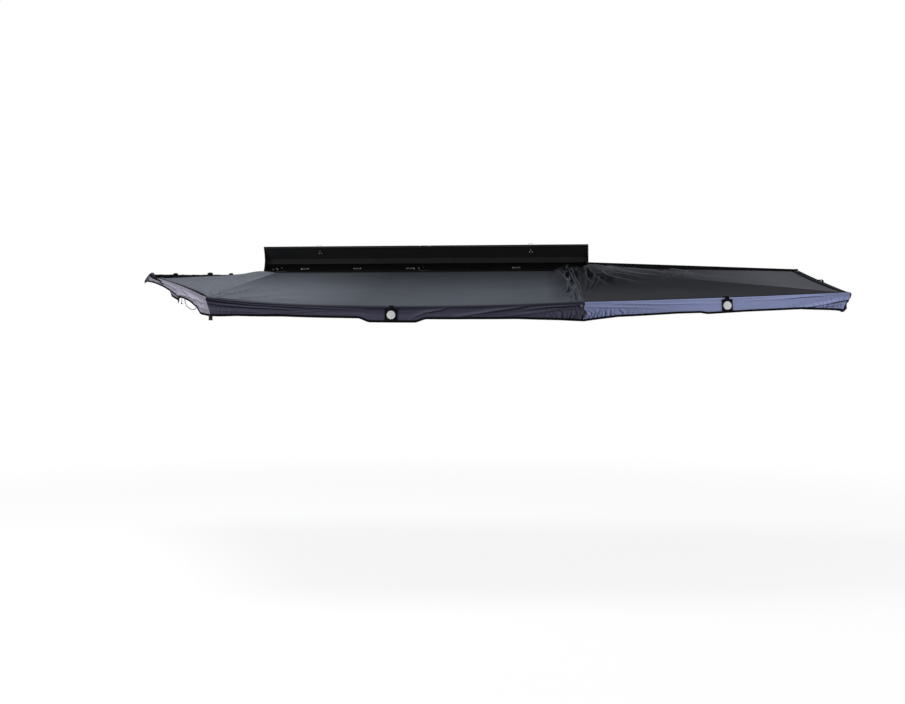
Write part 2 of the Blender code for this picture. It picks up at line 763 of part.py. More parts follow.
def canopy_panels():
    """Four panels that meet along the ridges and cover both hubs, where the cloth is bunched."""
    tip = {key: tip_point(key) for key in ARMS}
    front_low = Vector((-EDGE_X, CASE_EDGE_Y, CASE_EDGE_Z))
    rear_low = Vector((EDGE_X, CASE_EDGE_Y, CASE_EDGE_Z))
    front_far = Vector((-HUB_X - 0.060, -0.078, 0.1005))
    rear_ridge = Vector((HUB_X + 0.025, -0.080, CANOPY_Z))
    rear_far = Vector((HUB_X + 0.065, -0.078, CANOPY_Z + REAR_RISE + 0.002))
    g = RIDGE_GAP
    panels = (
        ("side_panel", (front_low + g, rear_low - g, tip["c"] - g, tip["b"] + g), 16, 10,
         drape("side", 0.011)),
        ("front_panel", (front_far, front_low - g, tip["b"] - g, tip["a"]), 12, 10,
         drape("front", 0.006, lambda s: FRONT_RISE * math.sin(math.pi * s))),
        ("corner_panel", (rear_low + g, rear_ridge - g, tip["d"] - g, tip["c"] + g), 14, 12,
         drape("corner", 0.010, lambda s: REAR_RISE * math.sin(math.pi * s / 2), 0.010, 2)),
        ("rear_panel", (rear_ridge + g, rear_far, tip["e"], tip["d"] + g), 12, 12,
         drape("rear", 0.008, lambda s: REAR_RISE * (1 - s), 0.006, 1)),
    )
    for name, corners, columns, rows, shape in panels:
        cloth_grid(name, corners, columns, rows, shape, CLOTH, GREY_CLOTH)


# Each valance's depth: share of the way along its edge, and how far it hangs there. It is deepest
# at the corners and has a deeper flap near its middle.
DROPS = {
    "front": (
        (0, 0.045), (0.10, 0.048), (0.156, 0.051), (0.275, 0.065), (0.44, 0.073), (0.475, 0.095),
        (0.56, 0.099), (0.60, 0.072), (0.63, 0.064), (0.76, 0.072), (0.855, 0.081), (0.922, 0.104),
        (1, 0.108),
    ),
    "side": (
        (0, 0.104), (0.08, 0.082), (0.20, 0.067), (0.35, 0.064), (0.405, 0.064), (0.43, 0.086),
        (0.555, 0.087), (0.58, 0.068), (0.70, 0.072), (0.82, 0.078), (0.93, 0.094), (1, 0.108),
    ),
    "corner": (
        (0, 0.108), (0.05, 0.098), (0.12, 0.088), (0.20, 0.086), (0.345, 0.080), (0.43, 0.081),
        (0.455, 0.089), (0.60, 0.084), (0.81, 0.084), (0.93, 0.098), (1, 0.110),
    ),
    "rear": (
        (0, 0.110), (0.08, 0.098), (0.20, 0.090), (0.38, 0.085), (0.41, 0.096), (0.59, 0.092),
        (0.62, 0.080), (0.90, 0.062), (1, 0.060),
    ),
}
RIM_OUT = 0.0050
RIM_LOW = 0.0015
INSET = 0.0015


def drop_at(edge, share):
    for (s0, d0), (s1, d1) in zip(DROPS[edge], DROPS[edge][1:]):
        if share <= s1:
            return d0 + (d1 - d0) * max(0.0, share - s0) / (s1 - s0)
    return DROPS[edge][-1][1]


def valance(edge, ripple, coat):
    """Cloth that hangs from one edge, gathered into small waves at its two ends."""
    outward = outward_of(edge)
    columns, rows = 48, 4
    origin = Vector((0, 0, 0))

    def shape(s, t):
        s = INSET + (1 - 2 * INSET) * s
        ends = max(0.0, 1 - s / 0.12) + max(0.0, 1 - (1 - s) / 0.12)
        wave = ripple * ends * math.sin(math.tau * s * 9) * t
        belly = 0.006 * math.sin(math.pi * s) * math.sin(math.pi * t)
        out = outward * (RIM_OUT + 0.004 * t + wave + belly)
        return rim(edge, s) + out + Vector((0, 0, -RIM_LOW - drop_at(edge, s) * t))

    corners = (origin, origin, origin, origin)
    return cloth_grid(f"valance_{edge}", corners, columns, rows, shape, CLOTH, coat)


def valances():
    valance("front", 0.003, LILAC_CLOTH)
    valance("side", 0.003, GREY_CLOTH)
    valance("corner", 0.003, LILAC_CLOTH)
    valance("rear", 0.003, GREY_CLOTH)


# Each edge strap: share of the way along the edge, how far out it hangs, and its patch's width,
# height and top. The front one runs behind its valance and ends below the hem.
PATCHES = {
    "front": (0.525, 0.0022, 0.050, 0.040, 0.0700),
    "side": (0.488, 0.0185, 0.073, 0.072, 0.0085),
    "corner": (0.527, 0.0185, 0.066, 0.073, 0.0085),
    "rear": (0.500, 0.0185, 0.073, 0.072, 0.0085),
}


def edge_strap(edge):
    """Near the middle of an edge: webbing over the rim, and a black patch on the valance."""
    outward = outward_of(edge)
    first, last, _ = EDGES[edge]
    share, out, wide, tall, top = PATCHES[edge]
    along = (tip_point(first) - tip_point(last)).normalized()
    place = frame_matrix(rim(edge, share), along, outward, along.cross(outward))
    thin = 0.0016
    patch = box_bm((wide, thin, tall), (0, out, -top - tall / 2))
    strap = solid(f"edge_strap_{edge}", patch, place, WEB_CLOTH)
    long = top + 0.0234
    band = box_bm((WEBBING, thin + 0.0006, long), (0, out, 0.0066 - long / 2))
    boolean(strap, solid("band", band, place), "UNION")
    over = box_bm((WEBBING - 0.0004, 0.044, thin), (0, out - 0.0217, 0.0060))
    boolean(strap, solid("over", over, place), "UNION")
    return strap


def cord_route():
    """The loop of cord under the front edge, from its eyelet down and back up to the next one."""
    outward = outward_of("front")
    return [
        rim("front", share) + outward * CORD_OUT + Vector((0, 0, -drop))
        for share, drop in CORD_POINTS
    ]


def bezier_through(points, count):
    """Evenly spread points on a smooth curve through the given ones."""
    fine = []
    for i in range(len(points) - 1):
        before = points[max(i - 1, 0)]
        after = points[min(i + 2, len(points) - 1)]
        p, q = points[i], points[i + 1]
        for step in range(12):
            u = step / 12
            slope_in, slope_out = (q - before) * 0.5, (after - p) * 0.5
            fine.append(
                p * (2 * u**3 - 3 * u**2 + 1) + slope_in * (u**3 - 2 * u**2 + u)
                + q * (3 * u**2 - 2 * u**3) + slope_out * (u**3 - u**2)
            )
    fine.append(points[-1])
    ends = [0.0]
    for a, b in zip(fine, fine[1:]):
        ends.append(ends[-1] + (b - a).length)
    spread, at = [], 0
    for i in range(count):
        goal = ends[-1] * i / (count - 1)
        while at < len(fine) - 2 and ends[at + 1] < goal:
            at += 1
        part = (goal - ends[at]) / max(ends[at + 1] - ends[at], 1e-9)
        spread.append(fine[at].lerp(fine[at + 1], min(max(part, 0.0), 1.0)))
    return spread


def front_cord():
    curve = bpy.data.curves.new("front_cord", "CURVE")
    curve.dimensions = "3D"
    curve.bevel_depth = CORD_DIAMETER / 2
    curve.bevel_resolution = 1
    curve.use_fill_caps = True
    points = bezier_through(cord_route(), 40)
    spline = curve.splines.new("POLY")
    spline.points.add(len(points) - 1)
    for point, co in zip(spline.points, points):
        point.co = (*co, 1)
    obj = bpy.data.objects.new("front_cord", curve)
    length = sum((b - a).length for a, b in zip(points, points[1:]))
    print(f"front cord length {length:.3f} m")
    return add(obj, CORD)


def build():
    ends = (("front", -1), ("rear", 1))
    case_back()
    canopy_rail()
    case_seal()
    for name, side in ends:
        case_end_cap(f"case_end_cap_{name}", side)
        hub_bracket(f"hub_bracket_{name}", side)
        pivot_pin(f"pivot_pin_{name}", side)
    hub_bush("front_hub_upper_bush", -1, 0, 0)
    hub_bush("front_hub_lower_bush", -1, 3, 4)
    hub_bush("rear_hub_bush", 1, 1, 2)
    for name, x in zip(("front", "middle", "rear"), BRACKET_X):
        rack_bracket(f"rack_bracket_{name}", x)
    for key in ARMS:
        arm_tube(key)
        arm_knuckle(key)
        arm_tip(key)
    lid_shell()
    for name, side in ends:
        lid_end_cap(f"lid_end_cap_{name}", side)
    for name, x in zip(("front", "middle", "rear"), HINGE_X):
        hinge_leaf(f"hinge_leaf_case_{name}", x, False)
        hinge_leaf(f"hinge_leaf_lid_{name}", x, True)
    for name, x in zip(("front", "rear"), LATCH_X):
        latch_base(f"latch_base_{name}", x)
        latch_lever(f"latch_lever_{name}", x)
        latch_bail(f"latch_bail_{name}", x)
        latch_keeper(f"latch_keeper_{name}", x)
    canopy_panels()
    valances()
    for edge in EDGES:
        edge_strap(edge)
    front_cord()


build()
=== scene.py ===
# %% [markdown]
# # A vehicle side awning, dressed
# The rigid parts come from the packed model and already have their true shape: a long folded lid, a
# case, five arms on two hubs. This lesson gives them their finishes and makes everything sewn: the
# canopy, its hanging borders, the straps and the cord, and the small fasteners.

# %% Load the frame
import json
import math

import bmesh
import bpy
import numpy as np
from mathutils import Matrix, Vector


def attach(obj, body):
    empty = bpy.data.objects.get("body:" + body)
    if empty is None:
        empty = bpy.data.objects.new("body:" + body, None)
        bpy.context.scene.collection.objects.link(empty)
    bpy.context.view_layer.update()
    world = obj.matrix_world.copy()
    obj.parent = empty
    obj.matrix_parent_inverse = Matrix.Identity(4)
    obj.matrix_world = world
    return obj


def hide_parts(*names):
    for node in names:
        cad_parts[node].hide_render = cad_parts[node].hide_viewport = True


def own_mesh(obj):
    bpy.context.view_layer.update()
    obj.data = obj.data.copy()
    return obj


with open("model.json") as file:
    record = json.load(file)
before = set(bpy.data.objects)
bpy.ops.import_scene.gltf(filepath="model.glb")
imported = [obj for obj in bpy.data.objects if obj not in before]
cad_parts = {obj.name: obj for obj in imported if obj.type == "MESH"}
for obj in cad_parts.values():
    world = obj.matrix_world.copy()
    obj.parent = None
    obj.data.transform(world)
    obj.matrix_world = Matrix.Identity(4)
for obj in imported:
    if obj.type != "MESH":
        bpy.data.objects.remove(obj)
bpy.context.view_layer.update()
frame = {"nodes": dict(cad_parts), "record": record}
scene = bpy.context.scene
scene.view_settings.view_transform = "Standard"

# %% [markdown]
# ## The camera
# The photograph was taken from about head height, a little to the rear, nearly ten metres away. The
# horizon lies nine pixels above the middle of the picture, which a small lens shift reproduces
# without tilting the camera, so that upright edges stay upright.

# %% Camera
PICTURE_WIDTH = 905
FOCAL_PIXELS = 1280
HORIZON_RISE = 9

lens = bpy.data.cameras.new("camera")
lens.sensor_width = 36
lens.lens = lens.sensor_width * FOCAL_PIXELS / PICTURE_WIDTH
lens.shift_y = -HORIZON_RISE / PICTURE_WIDTH
camera = bpy.data.objects.new("camera", lens)
camera.location = (1.2175, -9.5817, -0.445)
camera.rotation_euler = (math.radians(90), 0, math.radians(6))
scene.collection.objects.link(camera)
scene.camera = camera
print("lens", round(lens.lens, 2), "mm")

# %% [markdown]
# ## Shader maths in plain Python
# A shader graph is easier to read as a formula. Wire wraps one output socket and adds a Math node
# for each sign, so 1 - mask * 0.5 means what it says.

# %% Wire
def joined(operation, swapped=False):
    """A method for Wire that joins it with another value in one Math node."""
    def method(self, other):
        return self.maths(operation, *((other, self) if swapped else (self, other)))

    return method


class Wire:
    """An output socket that can be added and multiplied like a number."""

    def __init__(self, finish, socket):
        self.finish = finish
        self.socket = socket

    def maths(self, operation, *values):
        node = self.finish.tree.nodes.new("ShaderNodeMath")
        node.operation = operation
        for value, socket in zip(values, node.inputs):
            self.finish.put(value, socket)
        return Wire(self.finish, node.outputs[0])

    def sine(self):
        return self.maths("SINE", self)

    def size(self):
        return self.maths("ABSOLUTE", self)

    __add__ = joined("ADD")
    __sub__ = joined("SUBTRACT")
    __rsub__ = joined("SUBTRACT", swapped=True)
    __mul__ = joined("MULTIPLY")
    __pow__ = joined("POWER")


print("wire methods", [name.strip("_") for name in vars(Wire) if callable(getattr(Wire, name))])

# %% [markdown]
# ## One class for all materials
# Finish holds one material. Its node() method makes any node from its type, its settings and what
# goes into its sockets. The methods after it make the nodes that several finishes share.

# %% Finish
class Finish:
    """One material with a Principled BSDF, built up node by node."""

    def __init__(self, name, **constants):
        self.material = bpy.data.materials.new(name)
        self.material.use_nodes = True
        self.tree = self.material.node_tree
        self.shader = self.tree.nodes["Principled BSDF"]
        self.use(**constants)

    def put(self, value, socket):
        if isinstance(value, Wire):
            self.tree.links.new(value.socket, socket)
        else:
            socket.default_value = value

    def use(self, **values):
        """Sets inputs of the shader, each to a wire or a plain value, and hands back the material."""
        for key, value in values.items():
            self.put(value, self.shader.inputs[key.replace("_", " ")])
        return self.material

    def node(self, kind, output=0, settings=None, **inputs):
        """Adds a node. An input called i6 is number 6, and any other goes by the socket's own name."""
        made = self.tree.nodes.new("ShaderNode" + kind)
        for key, value in (settings or {}).items():
            setattr(made, key, value)
        for key, value in inputs.items():
            self.put(value, made.inputs[int(key[1:]) if key[1:].isdigit() else key])
        return Wire(self, made.outputs[output])

    def noise(self, where, scale, detail=2.0, roughness=0.5):
        return self.node("TexNoise", "Fac", Vector=where, Scale=scale, Detail=detail, Roughness=roughness)

    def mix(self, share, colour, first, second):
        """One colour, between two of its shades."""
        ends = [(*(c * shade for c in colour), 1) for shade in (first, second)]
        return self.node("Mix", 2, {"data_type": "RGBA"}, i0=share, i6=ends[0], i7=ends[1])

    def bump(self, height, distance, strength, **below):
        return self.node("Bump", Height=height, Distance=distance, Strength=strength, **below)

    def cloth_map(self):
        """The sheet's UV map in metres, and its two numbers: across and along the cloth."""
        where = self.node("TexCoord", "UV")
        split = self.node("SeparateXYZ", Vector=where).socket.node
        return where, Wire(self, split.outputs[0]), Wire(self, split.outputs[1])


print("finish methods", [name for name in vars(Finish) if not name.startswith("_")])

# %% [markdown]
# ## The coated cloth
# Awning cloth is a polyester weave with a thicker thread every few millimetres, which stops tears.
# The thick threads make a faint grid. The pattern reads the sheet's own UV map, laid out in metres,
# so that it follows the cloth wherever it hangs. Slow noise clouds the colour, as dust and the
# coating do, and a fine noise breaks up the sheen.

# %% Cloth finish
RIPSTOP = 0.0055


def cloth_finish(name, colour, cloud=0.16, roughness=0.55, gloss=0.0, crumple=0.0016):
    finish = Finish(name, Specular_IOR_Level=gloss)
    where, across, along = finish.cloth_map()
    turns = math.pi / RIPSTOP
    thread_u = 1 - (across * turns).sine().size()
    thread_v = 1 - (along * turns).sine().size()
    grid = (thread_u ** 10) + (thread_v ** 10)
    weave = (across * (turns * 11)).sine() * (along * (turns * 11)).sine()
    dusty = finish.noise(where, 2.2, 5.0, 0.55)
    speckle = finish.noise(where, 140.0, 2.0)
    soft_folds = finish.noise(where, 9.0, 3.0, 0.55)
    tone = dusty * cloud * 2 + grid * 0.05 + speckle * 0.08 + (1 - cloud - 0.06)
    # The tone attribute paints light and shade into the colour: each sheet's painted highlights and painted
    # shade
    shade = finish.node("Attribute", "Fac", {"attribute_name": "tone"})
    tinted = finish.mix(tone * shade, colour, 0.0, 1.0)
    rough = dusty * 0.12 + speckle * 0.06 + (roughness - 0.09)
    creases = finish.bump(soft_folds, crumple * 14, 0.35)
    normal = finish.bump(grid * 0.5 + weave * 0.25 + speckle * 0.3, 0.0003, 0.5, Normal=creases)
    return finish.use(Base_Color=tinted, Roughness=rough, Normal=normal)


SLATE = cloth_finish("slate_ripstop", (0.091, 0.099, 0.116))
# The rear panels get a darker, greyer copy of the same slate cloth: painted shade
SLATE_REAR_SHADED = cloth_finish("slate_ripstop_rear_shaded", (0.087, 0.089, 0.101))
# All valances are one cloth. The navy is its painted shade, and the lilac and the pale lilac are its painted
# light
VALANCE_SHADED = cloth_finish("valance_ripstop_shaded", (0.053, 0.052, 0.077))
VALANCE_LIT = cloth_finish("valance_ripstop_lit", (0.215, 0.243, 0.412), gloss=0.12)
VALANCE_PALE_LIT = cloth_finish("valance_ripstop_pale_lit", (0.225, 0.217, 0.268), gloss=0.06)
SEAM_TAPE = cloth_finish("seam_tape", (0.080, 0.087, 0.102))
print("cloth finishes", [made.name for made in (SLATE, SLATE_REAR_SHADED, VALANCE_SHADED, VALANCE_LIT, VALANCE_PALE_LIT, SEAM_TAPE)])

# %% [markdown]
# ## Webbing, binding and cord
# Woven tape shows ribs across its width, and it wears paler in patches.

# %% Webbing finish
def webbing_finish(name, colour, pitch=0.0016):
    finish = Finish(name, Specular_IOR_Level=0.01)
    where, across, along = finish.cloth_map()
    ribs = (along * (math.tau / pitch)).sine()
    cross = (across * (math.tau / (pitch * 1.7))).sine()
    wear_glint_and_shade = finish.noise(where, 60.0, 3.0)
    tinted = finish.mix(ribs * 0.18 + cross * 0.10 + wear_glint_and_shade * 0.5 + 0.5, colour, 0.35, 1.0)
    normal = finish.bump(ribs * 0.5 + cross * 0.3, 0.0004, 0.6)
    return finish.use(Base_Color=tinted, Roughness=wear_glint_and_shade * 0.2 + 0.62, Normal=normal)


WEBBING = webbing_finish("black_webbing", (0.0085, 0.0085, 0.0095))
BINDING = webbing_finish("black_binding", (0.0075, 0.0075, 0.0085), 0.0011)
CORD = webbing_finish("grey_cord", (0.15, 0.15, 0.16), 0.0022)
GREY_WEBBING = webbing_finish("grey_webbing", (0.055, 0.055, 0.057))
print("woven finishes", [made.name for made in (WEBBING, BINDING, CORD, GREY_WEBBING)])

# %% [markdown]
# ## Metal and plastic
# Powder coat has a fine orange peel. Anodised tube shows faint drawing lines along its length. Zinc
# plating is cloudy. Moulded nylon is matt and slightly grained. The black finishes stay dark: they
# face a white studio, so their mirror share is kept small.

# %% Hard finishes
def hard_finish(name, colour, shades, cloud, grain, bump, rough, **constants):
    """Slow noise clouds the colour between two shades and also the sheen. Fine noise makes a grain.

    A noise is its scale, detail and roughness. The bump is its depth and strength."""
    finish = Finish(name, **constants)
    where = finish.node("TexCoord", "Object")
    cloudy = finish.noise(where, *cloud)
    normal = finish.bump(finish.noise(where, *grain), *bump)
    spread, least = rough
    return finish.use(Base_Color=finish.mix(cloudy, colour, *shades), Roughness=cloudy * spread + least,
                      Normal=normal)


def powder_coat(name, colour, roughness=0.46, gloss=0.12):
    return hard_finish(name, colour, (0.91, 1.35), (6.0, 6.0, 0.6), (420.0, 2.0), (0.0004, 0.35),
                       (0.2, roughness - 0.1), Specular_IOR_Level=gloss)


def moulded(name, colour, roughness=0.58, grain=520.0, gloss=0.2):
    return hard_finish(name, colour, (0.75, 1.25), (14.0, 4.0), (grain, 3.0, 0.6), (0.0003, 0.5),
                       (0.14, roughness - 0.07), Specular_IOR_Level=gloss)


def drawn_alloy(name, colour, roughness=0.42):
    finish = Finish(name, Metallic=0.0, Specular_IOR_Level=0.25)
    where = finish.node("TexCoord", "Object")
    lines = finish.noise(finish.node("Mapping", Vector=where, Scale=(4.0, 4.0, 300.0)), 6.0, 3.0)
    dust = finish.noise(where, 9.0, 5.0)
    tinted = finish.mix(lines * 0.6 + dust * 0.4, colour, 0.7, 1.4)
    return finish.use(Base_Color=tinted, Roughness=lines * 0.14 + roughness - 0.07,
                      Normal=finish.bump(lines, 0.0002, 0.4))


CASE_BLACK = powder_coat("case_powder_coat", (0.0165, 0.0165, 0.0172), gloss=0.05)
HUB_BLACK = powder_coat("hub_powder_coat", (0.0085, 0.0085, 0.009), 0.5)
ARM_BLACK = drawn_alloy("black_anodised_tube", (0.0095, 0.0095, 0.0105))
RAIL_BLACK = drawn_alloy("black_anodised_rail", (0.013, 0.013, 0.014))
ZINC = hard_finish("zinc_plate", (0.50, 0.51, 0.53), (0.62, 1.0), (90.0, 4.0, 0.6), (700.0, 2.0),
                   (0.0001, 0.3), (0.25, 0.22), Metallic=1.0)
NYLON = moulded("black_nylon", (0.010, 0.010, 0.011))
RUBBER = moulded("black_rubber", (0.006, 0.006, 0.006), 0.8, 260.0, 0.0)
FELT = moulded("black_felt", (0.0030, 0.0030, 0.0032), 0.95, 900.0, 0.0)
PALE_RUBBER = moulded("pale_moulded_disc", (0.56, 0.56, 0.57), 0.55, 300.0, 0.4)
print("materials so far", len(bpy.data.materials))

# %% [markdown]
# ## Finishes on the parts that come from the frame
# Each rigid part keeps its mesh and only changes its material, picked by the finish slot that the
# part's record gives it.

# %% Paint the frame
BY_SLOT = {
    "case_paint": CASE_BLACK,
    "end_cap": NYLON,
    "rail_alloy": RAIL_BLACK,
    "seal_rubber": RUBBER,
    "hub_paint": HUB_BLACK,
    "zinc_steel": ZINC,
    "bush_nylon": NYLON,
    "arm_alloy": ARM_BLACK,
    "tip_nylon": NYLON,
    "canopy_cloth": SLATE,
    "valance_cloth": VALANCE_SHADED,
    "valance_lilac": VALANCE_LIT,
    "webbing": WEBBING,
    "cord": CORD,
}
for subpart in frame["record"]["subparts"]:
    mesh = frame["nodes"][subpart["node"]].data
    mesh.materials.clear()
    blackened = subpart["node"].startswith("hinge_leaf")
    mesh.materials.append(HUB_BLACK if blackened else BY_SLOT[subpart["material_slot"]])

# %% [markdown]
# ## Where the canopy is held
# Two hubs at the ends of the case carry five arms. Their pivots lean outwards, so the canopy falls
# away from the vehicle and sheds rain. From the hub, the arm's angle and its length follow the
# corners of the cloth, and everything sewn is measured from those five corners.

# %% Hubs, arms and corners
HUB_X, HUB_Y, CANOPY_Z = 1.175, -0.090, 0.095
SLOPE = math.atan(0.0985)
EX = Vector((1, 0, 0))
UPHILL = Vector((0, math.cos(SLOPE), math.sin(SLOPE)))
PIVOT = Vector((0, -math.sin(SLOPE), math.cos(SLOPE)))
TUBE_WIDTH, TUBE_TALL = 0.032, 0.020
LEVEL_TOP, LEVEL_PITCH = 0.021, 0.0225
CLOTH_LIFT = 0.0022
CORNER_ASIDE = {"a": TUBE_WIDTH / 2 + 0.003, "e": -TUBE_WIDTH / 2 - 0.003}
# Each arm: its hub's side, its length, its angle from +X, and its level counted from the top
ARMS = {
    "a": (-1, 0.915, 180.0, 1),
    "b": (-1, 2.300, -84.9, 2),
    "c": (1, 2.118, -89.2, 4),
    "d": (1, 2.300, -46.3, 3),
    "e": (1, 1.548, 0.0, 0),
}


def frame_of(x, y, z, origin):
    """A matrix from its three axes and its origin."""
    rows = [[x[i], y[i], z[i], origin[i]] for i in range(3)]
    return Matrix((*rows, (0, 0, 0, 1)))


def arm_frame(key):
    """The arm's own frame: x out along it, y across it, z along its pivot."""
    side, _, degrees, level = ARMS[key]
    turn = math.radians(degrees)
    out = EX * math.cos(turn) + UPHILL * math.sin(turn)
    hub = Vector((side * HUB_X, HUB_Y, CANOPY_Z)) - PIVOT * (LEVEL_TOP + LEVEL_PITCH * level)
    return frame_of(out, PIVOT.cross(out), PIVOT, hub)


def corner(key):
    return arm_frame(key) @ Vector((ARMS[key][1], CORNER_ASIDE.get(key, 0.0), TUBE_TALL / 2 + CLOTH_LIFT))


CORNER = {key: np.array(corner(key)) for key in ARMS}
for key, place in CORNER.items():
    print("corner", key, np.round(place, 3))

# %% [markdown]
# ## The four outer edges
# Cloth between two arms can't stay quite straight, because its weight pulls the edge down. Each edge
# has its own sag, and the side edge hangs lowest a little nearer to its first corner.

# %% Edges of the canopy
# Each outer edge of the canopy: its first corner, its last one, and how far it hangs in between
EDGES = {
    "front": ("a", "b", -0.002),
    "side": ("b", "c", 0.043),
    "corner": ("c", "d", 0.005),
    "rear": ("d", "e", 0.004),
}
SKEW = {"side": 0.8}
CUT = {"front": 0.030}
DOWN = np.array((0.0, 0.0, -1.0))
UP_Y = np.array((0.0, 1.0, 0.0))
UP_Z = np.array((0.0, 0.0, 1.0))


def sag(edge, share):
    """The shape of a hanging edge. A power below 1 moves its lowest place to the first corner."""
    at = np.clip(share, 0, 1) ** SKEW.get(edge, 1.0)
    return 4 * at * (1 - at)


def rim(edge, share):
    """Points on a canopy edge, for an array of shares from its first corner to its last."""
    first, last, low = EDGES[edge]
    share = np.atleast_1d(share)
    line = CORNER[first] + (CORNER[last] - CORNER[first]) * share[:, None]
    # The front edge is cut in a shallow curve, as on any tensioned cloth
    line -= outward(edge) * (CUT.get(edge, 0.0) * sag(edge, share))[:, None]
    return line + DOWN * (low * sag(edge, share))[:, None]


def outward(edge):
    """The level direction out of the canopy, square to an edge."""
    line = CORNER[EDGES[edge][1]] - CORNER[EDGES[edge][0]]
    flat = np.array((line[1], -line[0], 0.0))
    return flat / np.linalg.norm(flat)


print("middle of the side edge", np.round(rim("side", 0.5)[0], 3))

# %% [markdown]
# ## Creases in stretched cloth
# Cloth that is stretched between arms has long straight creases that run out from each corner. One
# small function adds a ridge along any line, gone at both of its ends. Another spreads a fan of such
# lines from one point.

# %% Creases
def between(value, low, high):
    """A smooth step from 0 at low to 1 at high."""
    share = np.clip((value - low) / (high - low), 0, 1)
    return share * share * (3 - 2 * share)


def patch(corners, s, t):
    """Points of a straight-sided patch: corners at (0,0), (1,0), (1,1) and (0,1)."""
    a, b, c, d = (np.array(p, float) for p in corners)
    near = a + (b - a) * s[:, None]
    far = d + (c - d) * s[:, None]
    return near + (far - near) * t[:, None]


def ridges(x, y, lines):
    """Heights of straight creases, and how far each point is on a crest.

    Each line is x0, y0, x1, y1, half width and height. It fades in at its start and runs out at its
    end, and one flank is steeper than the other, as in a fold that is about to tip over."""
    total, crest = np.zeros_like(x), np.zeros_like(x)
    for x0, y0, x1, y1, width, height in lines:
        dx, dy = x1 - x0, y1 - y0
        long = math.hypot(dx, dy)
        along = ((x - x0) * dx + (y - y0) * dy) / long
        away = ((x - x0) * dy - (y - y0) * dx) / long
        away = away + width * 0.8 * np.sin(along * 9.0 / max(long, 0.3) + x0 * 37.0)
        share = np.clip(along / long, 0, 1)
        fade = np.sin(math.pi * np.sqrt(share))
        spread = width * (0.6 + 0.8 * share) * np.where(away > 0, 0.55, 1.3)
        total += height * fade * np.exp(-((away / spread) ** 2))
        if height > 0:
            crest = np.maximum(crest, fade * np.exp(-((away / (spread * 0.45)) ** 2)))
    return total, crest


def fan(origin, angles, lengths, widths, heights, seed, start=0.06):
    """Creases that run out from one point, spread evenly between two angles, jittered by a seed."""
    chance = np.random.default_rng(seed)
    first, last, count = angles
    lines = []
    for i in range(count):
        angle = math.radians(first + (last - first) * (i + chance.uniform(-0.35, 0.35)) / max(count - 1, 1))
        begin = chance.uniform(0.0, start)
        long = chance.uniform(*lengths)
        sign = 1 if i % 2 == 0 else -0.6
        x0 = origin[0] + begin * math.cos(angle)
        y0 = origin[1] + begin * math.sin(angle)
        lines.append((x0, y0, x0 + long * math.cos(angle), y0 + long * math.sin(angle),
                      chance.uniform(*widths), sign * chance.uniform(*heights)))
    return lines


print("a smooth step, a quarter of the way", between(0.25, 0.0, 1.0))

# %% [markdown]
# ## Sheets of cloth
# A sheet starts as a flat grid. Every point knows how far it lies across and along the cloth, and a
# function turns those two shares into its place in space. The same shares, in metres, become the UV
# map. Each finished piece rides on one body of the mechanism.

# %% Grid to sheet
def pull(items, field, width=3, kind=float):
    """One field of a mesh's vertices, loops or faces, as an array with a row for each."""
    values = np.empty(len(items) * width, kind)
    items.foreach_get(field, values)
    return values.reshape(-1, width)


def lay_out(mesh, u, v):
    """Gives the mesh its UV map, in metres, from two values at each vertex."""
    index = pull(mesh.loops, "vertex_index", 1, np.int32)[:, 0]
    mesh.uv_layers.new(name="cloth").data.foreach_set("uv", np.stack((u[index], v[index]), 1).ravel())


def sheet_mesh(name, columns, rows, place, size, tone=None, crowd=None):
    """A grid bent by place(s, t), with a UV map in metres and a tone for its colour.

    crowd moves the columns closer together where a panel has fine folds."""
    work = bmesh.new()
    bmesh.ops.create_grid(work, x_segments=columns, y_segments=rows, size=0.5)
    mesh = bpy.data.meshes.new(name)
    work.to_mesh(mesh)
    work.free()
    s, t = (pull(mesh.vertices, "co")[:, :2] + 0.5).T
    s = s if crowd is None else crowd(s)
    points = place(s, t)
    mesh.vertices.foreach_set("co", points.ravel())
    lay_out(mesh, s * size[0], t * size[1])
    tones = np.ones_like(s) if tone is None else tone(s, t, points)
    mesh.attributes.new("tone", "FLOAT", "POINT").data.foreach_set("value", tones.astype(np.float32))
    mesh.update()
    return mesh


def dress(name, mesh, material, body, thickness=0.0, sharp=None):
    """Makes the piece, gives it its finish and its thickness, and sets it on its body."""
    piece = bpy.data.objects.new(name, mesh)
    scene.collection.objects.link(piece)
    mesh.materials.clear()
    mesh.materials.append(material)
    mesh.shade_smooth()
    if sharp is not None:
        mesh.set_sharp_from_angle(angle=math.radians(sharp))
    if thickness:
        wall = piece.modifiers.new("thickness", "SOLIDIFY")
        wall.thickness = thickness
        wall.offset = 0.0
    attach(piece, body)
    return piece


print("meshes before the first sheet", len(bpy.data.meshes))

# %% [markdown]
# ## Gather groups
# Real cloth bunches up against the case when the arms fold. Each sewn piece rides on the body of its
# group: the side panel on the case, the front panel on its long arm, and the two rear panels on the
# arm between them.

# %% Gather lines
CASE_EDGE_Y, CASE_EDGE_Z = -0.0640, 0.0880
EDGE_X = HUB_X - 0.040
FRONT_LOW = np.array((-EDGE_X, CASE_EDGE_Y, CASE_EDGE_Z))
REAR_LOW = np.array((EDGE_X, CASE_EDGE_Y, CASE_EDGE_Z))
# Each group: its body, the direction its cloth is squashed in, the line's place, and what stays
GATHER = {
    "side": ("case", tuple(UPHILL), tuple(FRONT_LOW), 0.028),
    "front": ("arm_b", tuple(arm_frame("b").col[1].xyz), tuple(CORNER["b"]), 0.035),
    "rear": ("arm_d", tuple(arm_frame("d").col[1].xyz), tuple(CORNER["d"]), 0.030),
}
GROUP = {"front": "front", "side": "side", "corner": "rear", "rear": "rear"}
SHEET_THICKNESS = 0.0008


def gather(piece):
    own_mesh(piece)


